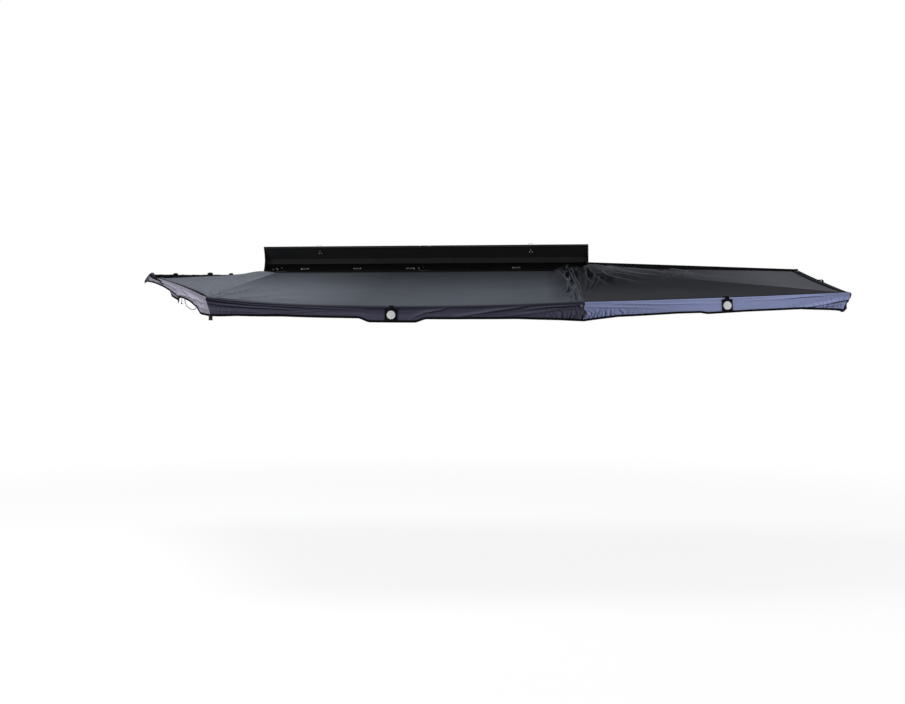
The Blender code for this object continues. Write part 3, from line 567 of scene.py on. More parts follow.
def cloth(name, grid, place, size, tone, finish, where, towards=(0, 0, 1), crowd=None):
    """A thin sheet on its group's body, turned over if its faces look away from a direction."""
    mesh = sheet_mesh(name, *grid, place, size, tone, crowd)
    if pull(mesh.polygons, "normal").mean(0) @ np.array(towards) < 0:
        mesh.flip_normals()
    return dress(name, mesh, finish, GATHER[where][0], SHEET_THICKNESS)


def hollow_of(t, deep):
    """How far a panel sinks between its inner and its outer edge."""
    return deep * np.sin(math.pi * np.minimum(1, 0.15 + 0.85 * t))


print("gather groups and their bodies", {name: values[0] for name, values in GATHER.items()})

# %% [markdown]
# ## The side panel
# The biggest panel is clipped to the case along its whole length and runs out to two arm ends. Its
# outer edge hangs lower in the middle. Rain and its own weight leave it slightly hollow. Tension
# lines fan out from its outer front corner, and near the rear hub it is pulled into small folds.

# %% Side creases
HUB_FOLD = (1.175, -0.09)
FRONT_HUB_FOLD = (-1.15, -0.08)

side_creases = fan(CORNER["b"], (6, 70, 8), (0.5, 1.6), (0.014, 0.03), (0.004, 0.009), 3)
side_creases += fan(CORNER["b"], (78, 92, 5), (1.0, 2.0), (0.010, 0.02), (0.004, 0.009), 4)
side_creases += fan(CORNER["c"], (91.0, 95.8, 9), (1.6, 2.25), (0.008, 0.014), (0.014, 0.028), 5, 0.4)
for i in range(14):
    at = 0.03 + 0.066 * i
    spot = (HUB_FOLD[0] - 0.090 * (1 - at) ** 0.7 + 0.016 * math.sin(i * 2.1), HUB_FOLD[1] - 2.15 * at)
    side_creases += fan(spot, (-96 + 6 * (i % 2), -89 + 6 * (i % 2), 2), (0.18, 0.50), (0.006, 0.010),
                        (0.010, 0.020), 30 + i, 0.04)
side_creases += fan(HUB_FOLD, (-97, -120, 6), (0.20, 0.6), (0.010, 0.016), (0.006, 0.012), 6)
side_creases += fan(FRONT_HUB_FOLD, (-60, -86, 4), (0.5, 1.4), (0.012, 0.025), (0.004, 0.008), 7)
print("side creases", len(side_creases))

# %% [markdown]
# ## Shape and tone of the side panel
# The sheet is a flat patch between four corners. Its sag, its creases and the cloth that is bunched up
# at the rear hub are added to its height. The tone paints light and shade into its colour: painted shade
# over its rear part and towards the case, painted highlights on the crests beside the rear arm, and
# painted shade at the outer rim, along the creases by the front arm and next to the hub.

# %% Side panel
def hub_stand(t):
    """The height of the cloth that is bunched up over the rear hub, from the case outwards."""
    return 0.040 * between(t, 0.0, 0.035) * (1 - between(t, 0.05, 0.42))


def near_rim(s, t):
    """Long folds that run beside the outer edge, strongest at its first corner."""
    out = np.zeros_like(s)
    for middle, width, height, lean in ((0.955, 0.010, 0.010, 0.03), (0.985, 0.006, 0.008, 0.0)):
        line = middle - lean * np.sin(math.pi * np.clip(s * 1.6, 0, 1))
        out += height * np.exp(-(((t - line) / width) ** 2)) * (1 - between(s, 0.15, 0.85))
    return out


def side_place(s, t):
    points = patch((FRONT_LOW, REAR_LOW, CORNER["c"], CORNER["b"]), s, t)
    hang = EDGES["side"][2] * t**1.5 + hollow_of(t, 0.011)
    lift, _ = ridges(points[:, 0], points[:, 1], side_creases)
    inside = np.minimum(1, np.minimum(s, 1 - s) * 60) * np.minimum(1, (1 - t) * 40) * np.minimum(1, t * 60)
    points[:, 2] += (lift + near_rim(s, t)) * inside
    points[:, 2] += hub_stand(t) * between(s, 0.915, 0.955) - sag("side", s) * hang
    return points


def side_tone(s, t, points):
    _, crest = ridges(points[:, 0], points[:, 1], side_creases)
    # Painted highlights on the crests beside the rear arm, and painted shade beside them near the hub
    wear_glint_and_shade = crest * between(s, 0.90, 0.96) * between(-t, -0.92, -0.30) * 0.78
    wear_glint_and_shade -= (1 - crest) * between(s, 0.935, 0.975) * (1 - between(t, 0.35, 0.9)) * 0.24
    # Painted shade: lighter near the front of the panel, darker from its middle on, and darker towards the
    # case
    shade_along_panel = np.interp(s, (0, 0.15, 0.40, 0.75, 1.0), (1.0, 1.0, 0.60, 0.65, 0.62))
    plain = shade_along_panel * (0.38 + 0.62 * between(t, 0.0, 0.85))
    # Painted shade: on the roll at the outer rim, next to the rear hub, and along the creases by the front
    # arm
    rolled = 0.55 * between(t, 0.955, 0.995) * plain
    shaded = 1 - 0.5 * between(s, 0.90, 0.95) * (1 - between(t, 0.03, 0.16))
    ribs = crest * between(s, 0.0, 0.02) * (1 - between(s, 0.08, 0.24)) * between(t, 0.25, 0.7)
    dim = 1 - 0.32 * between(s, 0.895, 0.945) * (1 - between(t, 0.80, 1.0))
    return np.maximum(plain * (1 - 0.34 * ribs) - rolled + wear_glint_and_shade, 0.06) * shaded * dim


canopy_side = cloth("canopy_side", (260, 190), side_place, (2.2, 2.31), side_tone, SLATE, "side",
                    crowd=lambda s: 1 - (1 - s) ** 1.7)
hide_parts("side_panel")
gather(canopy_side)
print("side panel points", len(canopy_side.data.vertices))

# %% [markdown]
# ## The front panel
# A triangle between the short front arm and the long one beside it. Its far edge lies along the
# short arm and climbs to the case only near the hub, so the arm shows behind it.

# %% Front panel
FRONT_FAR = np.array((-HUB_X - 0.060, -0.078, 0.1005))
front_creases = fan((-1.16, -0.08), (-98, -150, 7), (0.5, 1.5), (0.012, 0.024), (0.005, 0.009), 11)
front_creases += fan(CORNER["b"], (97, 118, 6), (0.5, 1.5), (0.012, 0.024), (0.005, 0.010), 12)
front_creases += fan(CORNER["a"], (-20, -58, 4), (0.3, 0.9), (0.010, 0.018), (0.003, 0.006), 13)


def front_place(s, t):
    points = patch((FRONT_FAR, FRONT_LOW, CORNER["b"], CORNER["a"]), s, t)
    across = 4 * s * (1 - s)
    hang = EDGES["front"][2] * t**1.5 + hollow_of(t, 0.006)
    lift, _ = ridges(points[:, 0], points[:, 1], front_creases)
    inside = np.minimum(1, np.minimum(s, 1 - s) * 20) * np.minimum(1, (1 - t) * 30) * np.minimum(1, t * 30)
    rise = 0.004 * np.sin(math.pi * s) * between(-t, -0.5, -0.12)
    points[:, 2] += lift * inside + rise - across * hang
    points -= outward("front") * (CUT["front"] * across * t**2)[:, None]
    # Soon after the hub the edge drops to the lower half of the sleeve over the short arm
    points[:, 2] -= 0.019 * (1 - s) ** 3 * between(t, 0.02, 0.24) * (1 - 0.5 * between(t, 0.85, 1.0))
    return points


def front_tone(s, t, points):
    _, crest = ridges(points[:, 0], points[:, 1], front_creases)
    # Painted shade: along the creases beside the long arm, along the outer rim, and a little towards the
    # short arm
    crease_shade = 1 - 0.28 * crest * between(s, 0.55, 0.85) * between(t, 0.25, 0.7)
    return (0.92 + 0.08 * s) * (1 - 0.45 * between(t, 0.965, 1.0) * between(s, 0.0, 0.3)) * crease_shade


canopy_front = cloth("canopy_front", (120, 150), front_place, (1.1, 2.3), front_tone, SLATE, "front")
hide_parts("front_panel")
gather(canopy_front)
print("front panel with", len(front_creases), "creases")

# %% [markdown]
# ## The rear panels
# Two triangles wrap the vehicle's rear corner. They are one sheet here, with a straight seam down
# the arm between them. All their spare cloth is bunched over the rear hub, where it stands up and
# breaks into hard, shiny folds.

# %% Rear creases
REAR_RISE = 0.022
REAR_RIDGE = np.array((HUB_X + 0.025, -0.080, CANOPY_Z))
REAR_FAR = np.array((HUB_X + 0.040, -0.078, CANOPY_Z + 0.052))


def on_arm(key, share):
    """A point of the plan, some way along an arm."""
    return tuple(HUB_FOLD[i] + share * (CORNER[key][i] - HUB_FOLD[i]) for i in (0, 1))


rear_creases = fan(CORNER["c"], (86, 90.5, 6), (1.7, 2.2), (0.006, 0.011), (0.010, 0.020), 21, 0.3)
rear_creases += fan(HUB_FOLD, (-86, -62, 7), (0.35, 1.0), (0.010, 0.018), (0.014, 0.026), 28, 0.1)
rear_creases += fan(HUB_FOLD, (-70, -54, 5), (0.3, 0.9), (0.010, 0.018), (0.006, 0.012), 26)
rear_creases += fan(HUB_FOLD, (-50, -30, 11), (0.5, 1.5), (0.008, 0.014), (0.008, 0.016), 22, 0.2)
rear_creases += fan(HUB_FOLD, (-80, -8, 20), (0.12, 0.50), (0.006, 0.012), (0.006, 0.013), 23)
rear_creases += fan((2.05, -0.35), (-150, -120, 4), (0.25, 0.6), (0.010, 0.018), (0.006, 0.012), 27)
rear_creases += fan(CORNER["e"], (184, 252, 5), (0.3, 0.9), (0.010, 0.018), (0.003, 0.007), 24)
rear_creases += fan(CORNER["d"], (120, 192, 6), (0.3, 1.2), (0.010, 0.020), (0.003, 0.007), 25)
rear_creases.append((*on_arm("e", 0.42), *on_arm("d", 0.54), 0.020, 0.013))
rear_creases.append((*on_arm("e", 0.30), *on_arm("d", 0.40), 0.016, -0.010))
print("rear creases", len(rear_creases))

# %% [markdown]
# ## Shape and tone of the rear panels
# Both triangles are patches of the same sheet and meet at its middle. A hollow lies between the arms,
# and a dark pocket beside the hub. The far edge drops a little behind its deep black hem. The tone paints
# light and shade into the colour: painted shade keeps the sheet dark, painted light brightens the second
# triangle towards its end, painted highlights lie on the crests near the hub, and painted shade fills the
# pocket and the cloth next to the case.

# %% Rear panels
def hem_tall(t):
    """The black hem on the far edge: deep at the hub and shallow at the arm's end."""
    return 0.010 + 0.022 * (1 - between(t, 0.0, 1.3))


def rear_place(s, t):
    one, two = np.minimum(s * 2, 1.0), np.maximum(s * 2 - 1.0, 0.0)
    on_second = s * 2 > 1.0
    first = patch((REAR_LOW, REAR_RIDGE, CORNER["d"], CORNER["c"]), one, t)
    second = patch((REAR_RIDGE, REAR_FAR, CORNER["e"], CORNER["d"]), two, t)
    points = np.where(on_second[:, None], second, first)
    part = np.where(on_second, two, one)
    low = np.where(on_second, EDGES["rear"][2], EDGES["corner"][2])
    hang = low * t**1.5 + hollow_of(t, np.where(on_second, 0.008, 0.010))
    ridge = REAR_RISE * (1 - between(t, 0.12, 0.50))
    bunched = hub_stand(t) * (1 - between(one, 0, 1)) + ridge * between(one, 0, 1)
    stand = np.where(on_second, (1 - two) * ridge, bunched)
    lift, _ = ridges(points[:, 0], points[:, 1], rear_creases)
    edge = np.minimum(1, one * 20) * np.minimum(1, (1 - two) * 12)
    lift = lift * edge * np.minimum(1, (1 - t) * 30)
    # A hollow between the two arms, just outside the bunched cloth
    hollow = 0.022 * np.exp(-((one - 0.45) / 0.22) ** 2) * np.sin(math.pi * np.clip((t - 0.1) / 0.6, 0, 1))
    points[:, 2] += lift + stand - 4 * part * (1 - part) * hang
    points[:, 2] -= np.where(on_second, 0, hollow) + hem_tall(t) * two**4
    return points


def rear_tone(s, t, points):
    _, crest = ridges(points[:, 0], points[:, 1], rear_creases)
    # Painted shade keeps the sheet dark, and painted light brightens the second triangle towards its end
    strip = between(s, 0.497, 0.503)
    plain = 0.24 + 0.09 * between(t, 0.5, 0.9) + strip * np.clip(-0.35 + 1.10 * t, 0.04, 0.54)
    # Painted highlights on the crests near the hub
    wear_glint_and_shade = crest * between(-t, -0.7, -0.05) * 0.85 * (1 - 0.45 * strip * (1 - between(t, 0.15, 0.40)))
    one = np.minimum(s * 2, 1.0)
    blotch = 0.72 + 0.28 * np.sin(31 * one + 9 * t + 2 * np.sin(23 * t)) * np.sin(26 * t + 7 * one)
    # The dark pocket beside the hub, where the bunched cloth shades itself
    pocket = np.exp(-(((one - 0.36) / 0.40) ** 2)) * np.exp(-(((t - 0.20) / 0.19) ** 2)) * blotch
    # Painted shade next to the case. The far edge is lighter near the hub.
    hooded = 1 - 0.45 * (1 - between(t, 0.04, 0.22))
    edge = 0.35 * between(s, 0.975, 0.99) * (1 - t)
    return (plain * (1 - 0.85 * pocket) + wear_glint_and_shade * (1 - 0.72 * pocket)) * hooded + edge


canopy_rear = cloth("canopy_rear", (240, 190), rear_place, (3.3, 2.3), rear_tone, SLATE_REAR_SHADED, "rear")
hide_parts("corner_panel", "rear_panel")
gather(canopy_rear)
print("rear panel points", len(canopy_rear.data.vertices))

# %% [markdown]
# ## The hanging borders
# A valance hangs from each outer edge and carries a deeper flap near its middle. Neighbouring valances
# are sewn together at the corner, so both end on the same line, which leans out halfway between them.

# %% Depth of the valances
def corner_out(key):
    """The direction that both neighbouring valances share at a corner."""
    near = [edge for edge, ends in EDGES.items() if key in ends[:2]]
    total = sum(outward(edge) for edge in near)
    return total / np.linalg.norm(total)


# Each valance's depth: share of the way along its edge, and how far it hangs there
DROPS = {
    "front": ((0, 0.038), (0.10, 0.038), (0.156, 0.040), (0.24, 0.046), (0.375, 0.055), (0.405, 0.088),
              (0.505, 0.097), (0.545, 0.074), (0.60, 0.068), (0.76, 0.072), (0.855, 0.081), (0.922, 0.104),
              (1, 0.108)),
    "side": ((0, 0.104), (0.08, 0.082), (0.20, 0.067), (0.35, 0.064), (0.405, 0.064), (0.43, 0.086),
             (0.555, 0.087), (0.58, 0.068), (0.70, 0.072), (0.82, 0.078), (0.93, 0.094), (1, 0.108)),
    "corner": ((0, 0.108), (0.05, 0.098), (0.12, 0.088), (0.20, 0.086), (0.345, 0.080), (0.43, 0.081),
               (0.455, 0.089), (0.60, 0.084), (0.81, 0.084), (0.93, 0.098), (1, 0.110)),
    "rear": ((0, 0.110), (0.08, 0.098), (0.20, 0.090), (0.38, 0.085), (0.41, 0.096), (0.59, 0.092),
             (0.62, 0.080), (0.90, 0.062), (1, 0.060)),
}


def edge_length(edge):
    first, last, _ = EDGES[edge]
    return float(np.linalg.norm(CORNER[last] - CORNER[first]))


def valance_drop(edge, share):
    places, depths = zip(*DROPS[edge])
    wide = 0.003
    return sum(np.interp(share + d, places, depths) for d in (-wide, 0, wide)) / 3


print("depth in the middle", {edge: round(float(valance_drop(edge, 0.5)), 3) for edge in DROPS})

# %% [markdown]
# ## Folds and wrinkles
# Long slanting folds cross each valance. Each is gentle above its crest and steep below it, as in cloth
# that hangs. Close to a corner, short wrinkles cross each other.

# %% Folds and wrinkles
# Slanting folds: share along and share down at both ends, width down the cloth, and depth
FOLDS = {
    "side": ((0.655, 0.85, 0.850, 0.10, 0.11, 0.017), (0.725, 0.98, 0.935, 0.40, 0.10, 0.013),
             (0.840, 0.34, 1.000, 0.14, 0.07, 0.010), (0.548, 0.70, 0.640, 0.12, 0.09, 0.010),
             (0.000, 0.30, 0.270, 0.46, 0.08, 0.009), (0.000, 0.12, 0.420, 0.26, 0.06, 0.009),
             (0.010, 0.66, 0.200, 0.78, 0.07, 0.007), (0.130, 0.88, 0.330, 0.40, 0.08, 0.007)),
    "corner": ((0.775, 1.00, 1.075, 0.20, 0.10, 0.034), (0.000, 0.25, 0.300, 0.62, 0.08, 0.007),
               (0.100, 0.20, 0.520, 0.42, 0.07, 0.006), (0.600, 0.30, 0.900, 0.18, 0.06, 0.007),
               (0.880, 0.86, 1.000, 0.60, 0.06, 0.008)),
    "front": ((0.020, 0.40, 0.500, 0.28, 0.10, 0.008), (0.450, 0.85, 0.980, 0.35, 0.09, 0.010),
              (0.600, 0.30, 1.000, 0.75, 0.08, 0.008), (0.800, 0.90, 0.980, 0.62, 0.06, 0.008)),
    "rear": ((0.000, 0.30, 0.350, 0.60, 0.08, 0.008), (0.600, 0.80, 0.950, 0.30, 0.08, 0.007)),
}
# Wrinkles beside the corners: their strength at the first and last one, and their reach in metres
BUNCH = {
    "front": (0.3, 0.8, 0.20, 0.20),
    "side": (0.5, 1.3, 0.16, 0.25),
    "corner": (1.4, 1.2, 0.26, 0.26),
    "rear": (0.4, 0.3, 0.20, 0.20),
}


def bunch(edge, share, depth):
    """Small crossing wrinkles next to the corners, where cloth is gathered along the binding."""
    first, last, first_reach, last_reach = BUNCH[edge]
    metres = share * edge_length(edge)
    near = np.exp(-((metres / first_reach) ** 2)) * first
    near += np.exp(-(((edge_length(edge) - metres) / last_reach) ** 2)) * last
    at = metres + 0.010 * np.sin(depth * 5.0 + metres * 31) + 0.004 * np.sin(depth * 13 + metres * 60)
    wave = np.sin(at * math.tau / 0.027) + 0.8 * np.sin(at * math.tau / 0.017 + 1.3 + depth * 2.5)
    wave += 0.5 * np.sin(at * math.tau / 0.041 + 0.4 - depth * 3.0)
    return 0.0042 * wave * near * (0.10 + 0.90 * between(depth, 0.15, 0.95)), wave * near


def fold_shape(edge, share, depth):
    """Pleats: each is gentle above its crest and steep below it, where it throws a shadow."""
    total, crest, under = (np.zeros_like(share) for _ in range(3))
    for s0, t0, s1, t1, wide, tall in FOLDS[edge]:
        along = np.clip((share - s0) / (s1 - s0), 0, 1)
        away = depth - (t0 + (t1 - t0) * along) - 0.02 * np.sin(along * 7 + s0 * 40)
        fade = np.sin(math.pi * np.clip(along * 0.9 + 0.08, 0, 1)) ** 0.6
        fade *= np.where((share < s0 - 0.004) | (share > s1 + 0.004), 0, 1)
        spread = np.where(away > 0, wide * 0.42, wide * 1.5)
        total += tall * fade * np.exp(-((away / spread) ** 2))
        crest = np.maximum(crest, fade * np.exp(-(((away + wide * 0.35) / (wide * 0.55)) ** 2)))
        under = np.maximum(under, fade * np.exp(-(((away - wide * 0.55) / (wide * 0.5)) ** 2)))
    return total, crest, under


print("slanting folds", {edge: len(lines) for edge, lines in FOLDS.items()})

# %% [markdown]
# ## From the rim to the hem
# The cloth comes from the top of the canopy, rolls over the rim and hangs down. Folds and wrinkles push
# it outwards. At some corners the foot leans to one side.

# %% Shape of a valance
# The share of the way down that lies on the roll over the rim
ROLL = 0.11
# How far the foot of a corner leans along X. The corner over arm C waves instead.
LEAN = {"a": -0.010, "b": 0.033, "c": 0.0, "d": -0.030, "e": 0.0}


def valance_place(edge, share, depth):
    """A point at a share along an edge, and a share of the way down the valance."""
    first, last, _ = EDGES[edge]
    out = np.tile(outward(edge), (len(share), 1))
    rest = np.clip((depth - ROLL) / (1 - ROLL), 0, 1)
    lean = np.zeros_like(share)
    for key, nearness in ((first, 1 - between(share, 0.0, 0.06)), (last, between(share, 0.94, 1.0))):
        out += (corner_out(key) - out) * nearness[:, None]
        wave = -0.008 * np.sin(rest * 8.5) * between(rest, 0, 0.3) if key == "c" else 0.0
        wave = 0.014 * np.exp(-(((rest - 0.12) / 0.36) ** 2)) if key == "d" else wave
        lean += (LEAN[key] * rest + wave) * nearness
    small, _ = bunch(edge, share, depth)
    pleats, _, _ = fold_shape(edge, share, depth)
    metres = share * edge_length(edge)
    slow = 0.0030 * np.sin(metres * 5.1 + depth * 2.2) + 0.0015 * np.sin(metres * 11.7 - depth * 3.0)
    calm = np.sin(math.pi * np.clip(share, 0, 1)) ** 0.3
    # The cloth comes from the top of the canopy and rolls over its rim
    turn = np.clip(depth / ROLL, 0, 1) * math.pi / 2
    radius = 0.010
    reach = -0.008 + (radius + 0.008) * np.sin(turn) ** 0.8
    reach += (0.003 * depth + small + (pleats + slow) * calm) * between(depth, 0.03, 0.25)
    reach += 0.005 * np.sin(math.pi * share) * np.sin(math.pi * depth)
    fall = radius * (1 - np.cos(turn)) * 0.8
    drop = fall + (valance_drop(edge, share) + 0.001 - radius * 0.8) * rest - 0.0018
    aside = np.array((1.0, 0.0, 0.0)) * lean[:, None]
    return rim(edge, share) + out * reach[:, None] + DOWN * drop[:, None] + aside


print("hem at the middle of the side", valance_place("side", np.array([0.5]), np.array([1.0])).round(3))

# %% [markdown]
# ## Hang the valances
# Painted highlights make the crests lighter, and painted shade darkens the hollows under them and the
# roll at the top. Two valances are lilac and two are navy, as in the photograph. They are one cloth: the
# navy is its painted shade and the lilac its painted light.

# %% Hang the valances
LOOKS = {
    "front": (VALANCE_PALE_LIT, "valance_lilac"),
    "side": (VALANCE_SHADED, "valance_cloth"),
    "corner": (VALANCE_LIT, "valance_lilac"),
    "rear": (VALANCE_SHADED, "valance_cloth"),
}
ROLL_SHADE = {"side": 0.45, "front": 0.35, "corner": 0.10, "rear": 0.5}


def valance_tone(edge):
    def tone(s, t, points):
        _, crest, under = fold_shape(edge, s, t)
        _, wrinkle = bunch(edge, s, t)
        # Painted shade on the roll at the top
        rolled = ROLL_SHADE[edge] * (1 - between(t, 0.10, 0.34))
        deep = 1.0
        if edge == "side":
            # Painted shade: a darker band high on the side valance and lighter cloth below it, darker still
            # near its first corner
            rolled += 0.20 - 0.36 * between(t, 0.42, 0.62)
            rolled += 0.14 * (1 - between(s, 0.1, 0.3)) * (1 - between(t, 0.4, 0.6))
        if edge == "corner":
            # Painted shade over the corner valance, lighter in its middle, and a painted highlight under the
            # big fold near its last corner
            rolled += 0.14 - 0.22 * between(s, 0.15, 0.55) * between(-s, -1.0, -0.8)
            rolled -= 0.60 * between(s, 0.82, 0.90) * between(t, 0.52, 0.66)
            deep = 0.40 + 1.70 * between(s, 0.72, 0.84)
        # Painted highlights on crests and wrinkles, and painted shade under the folds
        marks = (0.60 * crest - 0.70 * under) * deep + 0.20 * wrinkle * between(t, 0.38, 0.70)
        shown = np.clip(0.95 + marks - rolled, 0.08, 3.0)
        if edge == "front":
            # The deeper flap in the middle lies behind the hem, in its shadow
            shown *= 1 - 0.40 * between(s, 0.385, 0.41) * between(-s, -0.545, -0.51) * between(t, 0.62, 0.75)
        return shown

    return tone


for edge, (finish, slot) in LOOKS.items():
    long = edge_length(edge)
    piece = cloth(f"valance_{edge}_cloth", (int(long / 0.004), 40), lambda s, t: valance_place(edge, s, t),
                  (long, 0.1), valance_tone(edge), finish, GROUP[edge], outward(edge))
    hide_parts(f"valance_{edge}")
    gather(piece)

# %% [markdown]
# ## Bindings and seams
# Each valance is bound in black tape, and a stiff piped seam joins it to the canopy. A ribbon is one
# more grid: long and narrow, with its own thickness.

# %% Ribbons
BINDING_TALL = {"front": 0.012, "side": 0.013, "corner": 0.012, "rear": 0.010}
SEAM_WIDE = {"front": 0.010, "corner": 0.007}


def ribbon(name, columns, place, size, where, thickness, steps=3, finish=BINDING):
    """A long narrow grid with a thickness, on the body of its gather group."""
    mesh = sheet_mesh(name, columns, steps, place, size)
    gather(dress(name, mesh, finish, GATHER[where][0], thickness, 40))


def hem(edge, s, t):
    """The tape is folded round the hem: its upper part follows each wrinkle of the cloth."""
    above = BINDING_TALL[edge] * (0.75 - t)
    depth = 1 - np.maximum(above, 0) / valance_drop(edge, s)
    return valance_place(edge, s, depth) + outward(edge) * 0.0008 - DOWN * np.minimum(above, 0)[:, None]


def rim_seam(edge, s, t):
    wide = SEAM_WIDE[edge]
    # On the front edge the black seam widens towards arm B and narrows just before it, standing in for the
    # shadow of the canopy's fold there: painted shadow
    broad = wide * (0.4 + 1.8 * s * (1 - between(s, 0.9, 1.0))) if edge == "front" else wide
    side = outward(edge) * ((t - 0.6) * broad - 0.003)[:, None]
    return rim(edge, s) + side + UP_Z * 0.0036 + DOWN * (0.002 * t)[:, None]


def flap_seam(s, t):
    """The hem's line carries on across the front flap, which is sewn on behind it."""
    share = 0.385 + 0.165 * s
    fall = 0.051 + 0.015 * s + 0.008 * t
    return valance_place("front", share, fall / valance_drop("front", share)) + outward("front") * 0.0010


def along_edge(kind, edge, place, spacing, tall, thickness, steps):
    """A ribbon along a whole edge, with a column at every spacing."""
    long = edge_length(edge)
    ribbon(f"{kind}_{edge}", int(long / spacing), lambda s, t: place(edge, s, t), (long, tall), GROUP[edge],
           thickness, steps)


for edge, tall in BINDING_TALL.items():
    along_edge("binding", edge, hem, 0.004, tall, 0.0036, 4)
ribbon("flap_seam_front", 100, flap_seam, (0.42, 0.008), "front", 0.0020)
for edge, wide in SEAM_WIDE.items():
    along_edge("rim_seam", edge, rim_seam, 0.006, wide, 0.0020, 3)
print("bindings", len(BINDING_TALL), "piped seams", len(SEAM_WIDE))

# %% [markdown]
# ## Tapes, the sleeve and the black band
# Where two panels meet over the front arm, a sealed tape covers the stitching. The far edge of the
# rear panel is a deep black hem: it stands tallest at the hub and narrows to the arm's end. A broad
# black band lies beside the last edge, and a sleeve covers the short arm.

# %% Tapes and hems
TAPE_WIDE = 0.014


def front_tape(s, t):
    """Follows the side panel's own surface along its first edge, so that it lies on the cloth."""
    points = side_place(np.zeros_like(s), s)
    across = side_place(np.full_like(s, 0.004), s) - points
    across /= np.linalg.norm(across, axis=1)[:, None]
    return points + across * ((t - 0.5) * TAPE_WIDE)[:, None] + UP_Z * 0.0011


def rear_hem(s, t):
    """Stands up from the far edge of the rear panel, over the topmost arm."""
    foot = rear_place(np.ones_like(s), s)
    return foot + np.array((0, 0.0010, -0.004)) - DOWN * ((hem_tall(s) + 0.009) * t)[:, None]


def front_sleeve(s, t):
    """A narrow oval round the short arm's tube, open at both ends."""
    turn = t * math.tau
    reach = 0.050 + (ARMS["a"][1] - 0.060) * s
    spot = np.array([arm_frame("a") @ Vector((r, 0, 0.0045)) for r in reach])
    tall = 0.0185 - 0.004 * between(-s, -0.5, 0.0)
    ripple = 1 + 0.05 * np.sin(s * 60 + 2 * np.sin(turn)) + 0.03 * np.sin(s * 131)
    raised = 0.007 * between(s, 0.60, 0.95)
    return (spot + UP_Y * (0.0205 * np.cos(turn) * ripple)[:, None]
            + UP_Z * ((tall - raised / 2) * np.sin(turn) * ripple + raised)[:, None])


def on_band(s, back, inset, lift):
    """A point beside the last edge. back is a share of the band's width, widest in its middle."""
    wide = 0.034 + 0.050 * np.sin(math.pi * np.clip(s * 0.85 + 0.1, 0, 1)) ** 0.7
    depth = 1.0 - (wide / 2.3) * back - inset
    return rear_place(0.5 + 0.5 * np.clip(s, 0.002, 0.998), depth) + UP_Z * lift


def rear_band(s, t):
    return on_band(s, 1 - t, 0.0005, 0.0022)


def band_seam(s, t):
    return on_band(s, 0.42 + 0.06 * (1 - t), 0.0, 0.0038)


ribbon("seam_tape_front_arm", 160, front_tape, (2.3, TAPE_WIDE), "side", 0.0008, 3, SEAM_TAPE)
ribbon("rear_hem", 120, rear_hem, (1.55, 0.03), "rear", 0.0050, 4)
sleeve = sheet_mesh("arm_sleeve", 110, 20, front_sleeve, (0.86, 0.12))
dress("arm_sleeve", sleeve, BINDING, "arm_a", 0.0012, 50)
ribbon("rear_band", 130, rear_band, (1.62, 0.06), "rear", 0.0020, 8)
ribbon("rear_band_seam", 130, band_seam, (1.62, 0.004), "rear", 0.0012, 3, SEAM_TAPE)
print("tape, hem, sleeve, band and its seam")

# %% [markdown]
# ## Straps at the middle of each edge
# A short strap comes over the rim at the middle of each edge and ends in a black patch. All of it is
# built from boxes with softened edges, in a frame that stands on the rim.

# %% Boxes
def block(work, size, centre, bevel=0.0):
    """A box with softened edges. Its vertices are returned, so that it can be moved on its own."""
    before = set(work.verts)
    made = bmesh.ops.create_cube(work, size=1.0)["verts"]
    bmesh.ops.scale(work, vec=size, verts=made)
    bmesh.ops.translate(work, vec=centre, verts=made)
    if bevel:
        edges = list({e for v in made for e in v.link_edges})
        bmesh.ops.bevel(work, geom=edges, offset=bevel, segments=2, profile=0.5, affect="EDGES", material=-1)
    return [v for v in work.verts if v not in before]


def blocks(work, matrix, parts):
    """Several boxes moved together. Each part is a size, a centre and a bevel."""
    verts = [v for part in parts for v in block(work, *part)]
    bmesh.ops.transform(work, matrix=matrix, verts=verts)


def hard_piece(name, work, material, body, matrix=None, sharp=35):
    """Makes a piece of a finished bmesh. Edges sharper than an angle in degrees stay crisp."""
    if matrix is not None:
        bmesh.ops.transform(work, matrix=matrix, verts=work.verts)
    bmesh.ops.recalc_face_normals(work, faces=work.faces)
    mesh = bpy.data.meshes.new(name)
    work.to_mesh(mesh)
    work.free()
    x, y, z = pull(mesh.vertices, "co").T
    lay_out(mesh, x + y, z)
    return dress(name, mesh, material, body, 0.0, sharp)


def edge_frame(edge, share):
    """x along the edge, y outwards, z up the valance, with its origin on the rim."""
    along = Vector(CORNER[EDGES[edge][0]] - CORNER[EDGES[edge][1]]).normalized()
    out = Vector(outward(edge))
    return frame_of(along, out, along.cross(out), rim(edge, share)[0])


print("frame at the middle of the side stands on", np.round(edge_frame("side", 0.5).translation, 3))

# %% [markdown]
# ## Straps with a patch
# Three of the straps are alike: a patch with raised stitching at its four borders, a strap that runs up
# and over the rim, and a keeper across it.

# %% Straps with a patch
# Each strap: share of the way along the edge, and the width and height of its patch
PATCHES = {
    "side": (0.490, 0.073, 0.072),
    "corner": (0.527, 0.066, 0.073),
    "rear": (0.500, 0.073, 0.072),
}
PATCH_OUT = 0.0205
PATCH_TOP = 0.0085
STRAP_WIDE = 0.021
STRAP_THICK = 0.0017

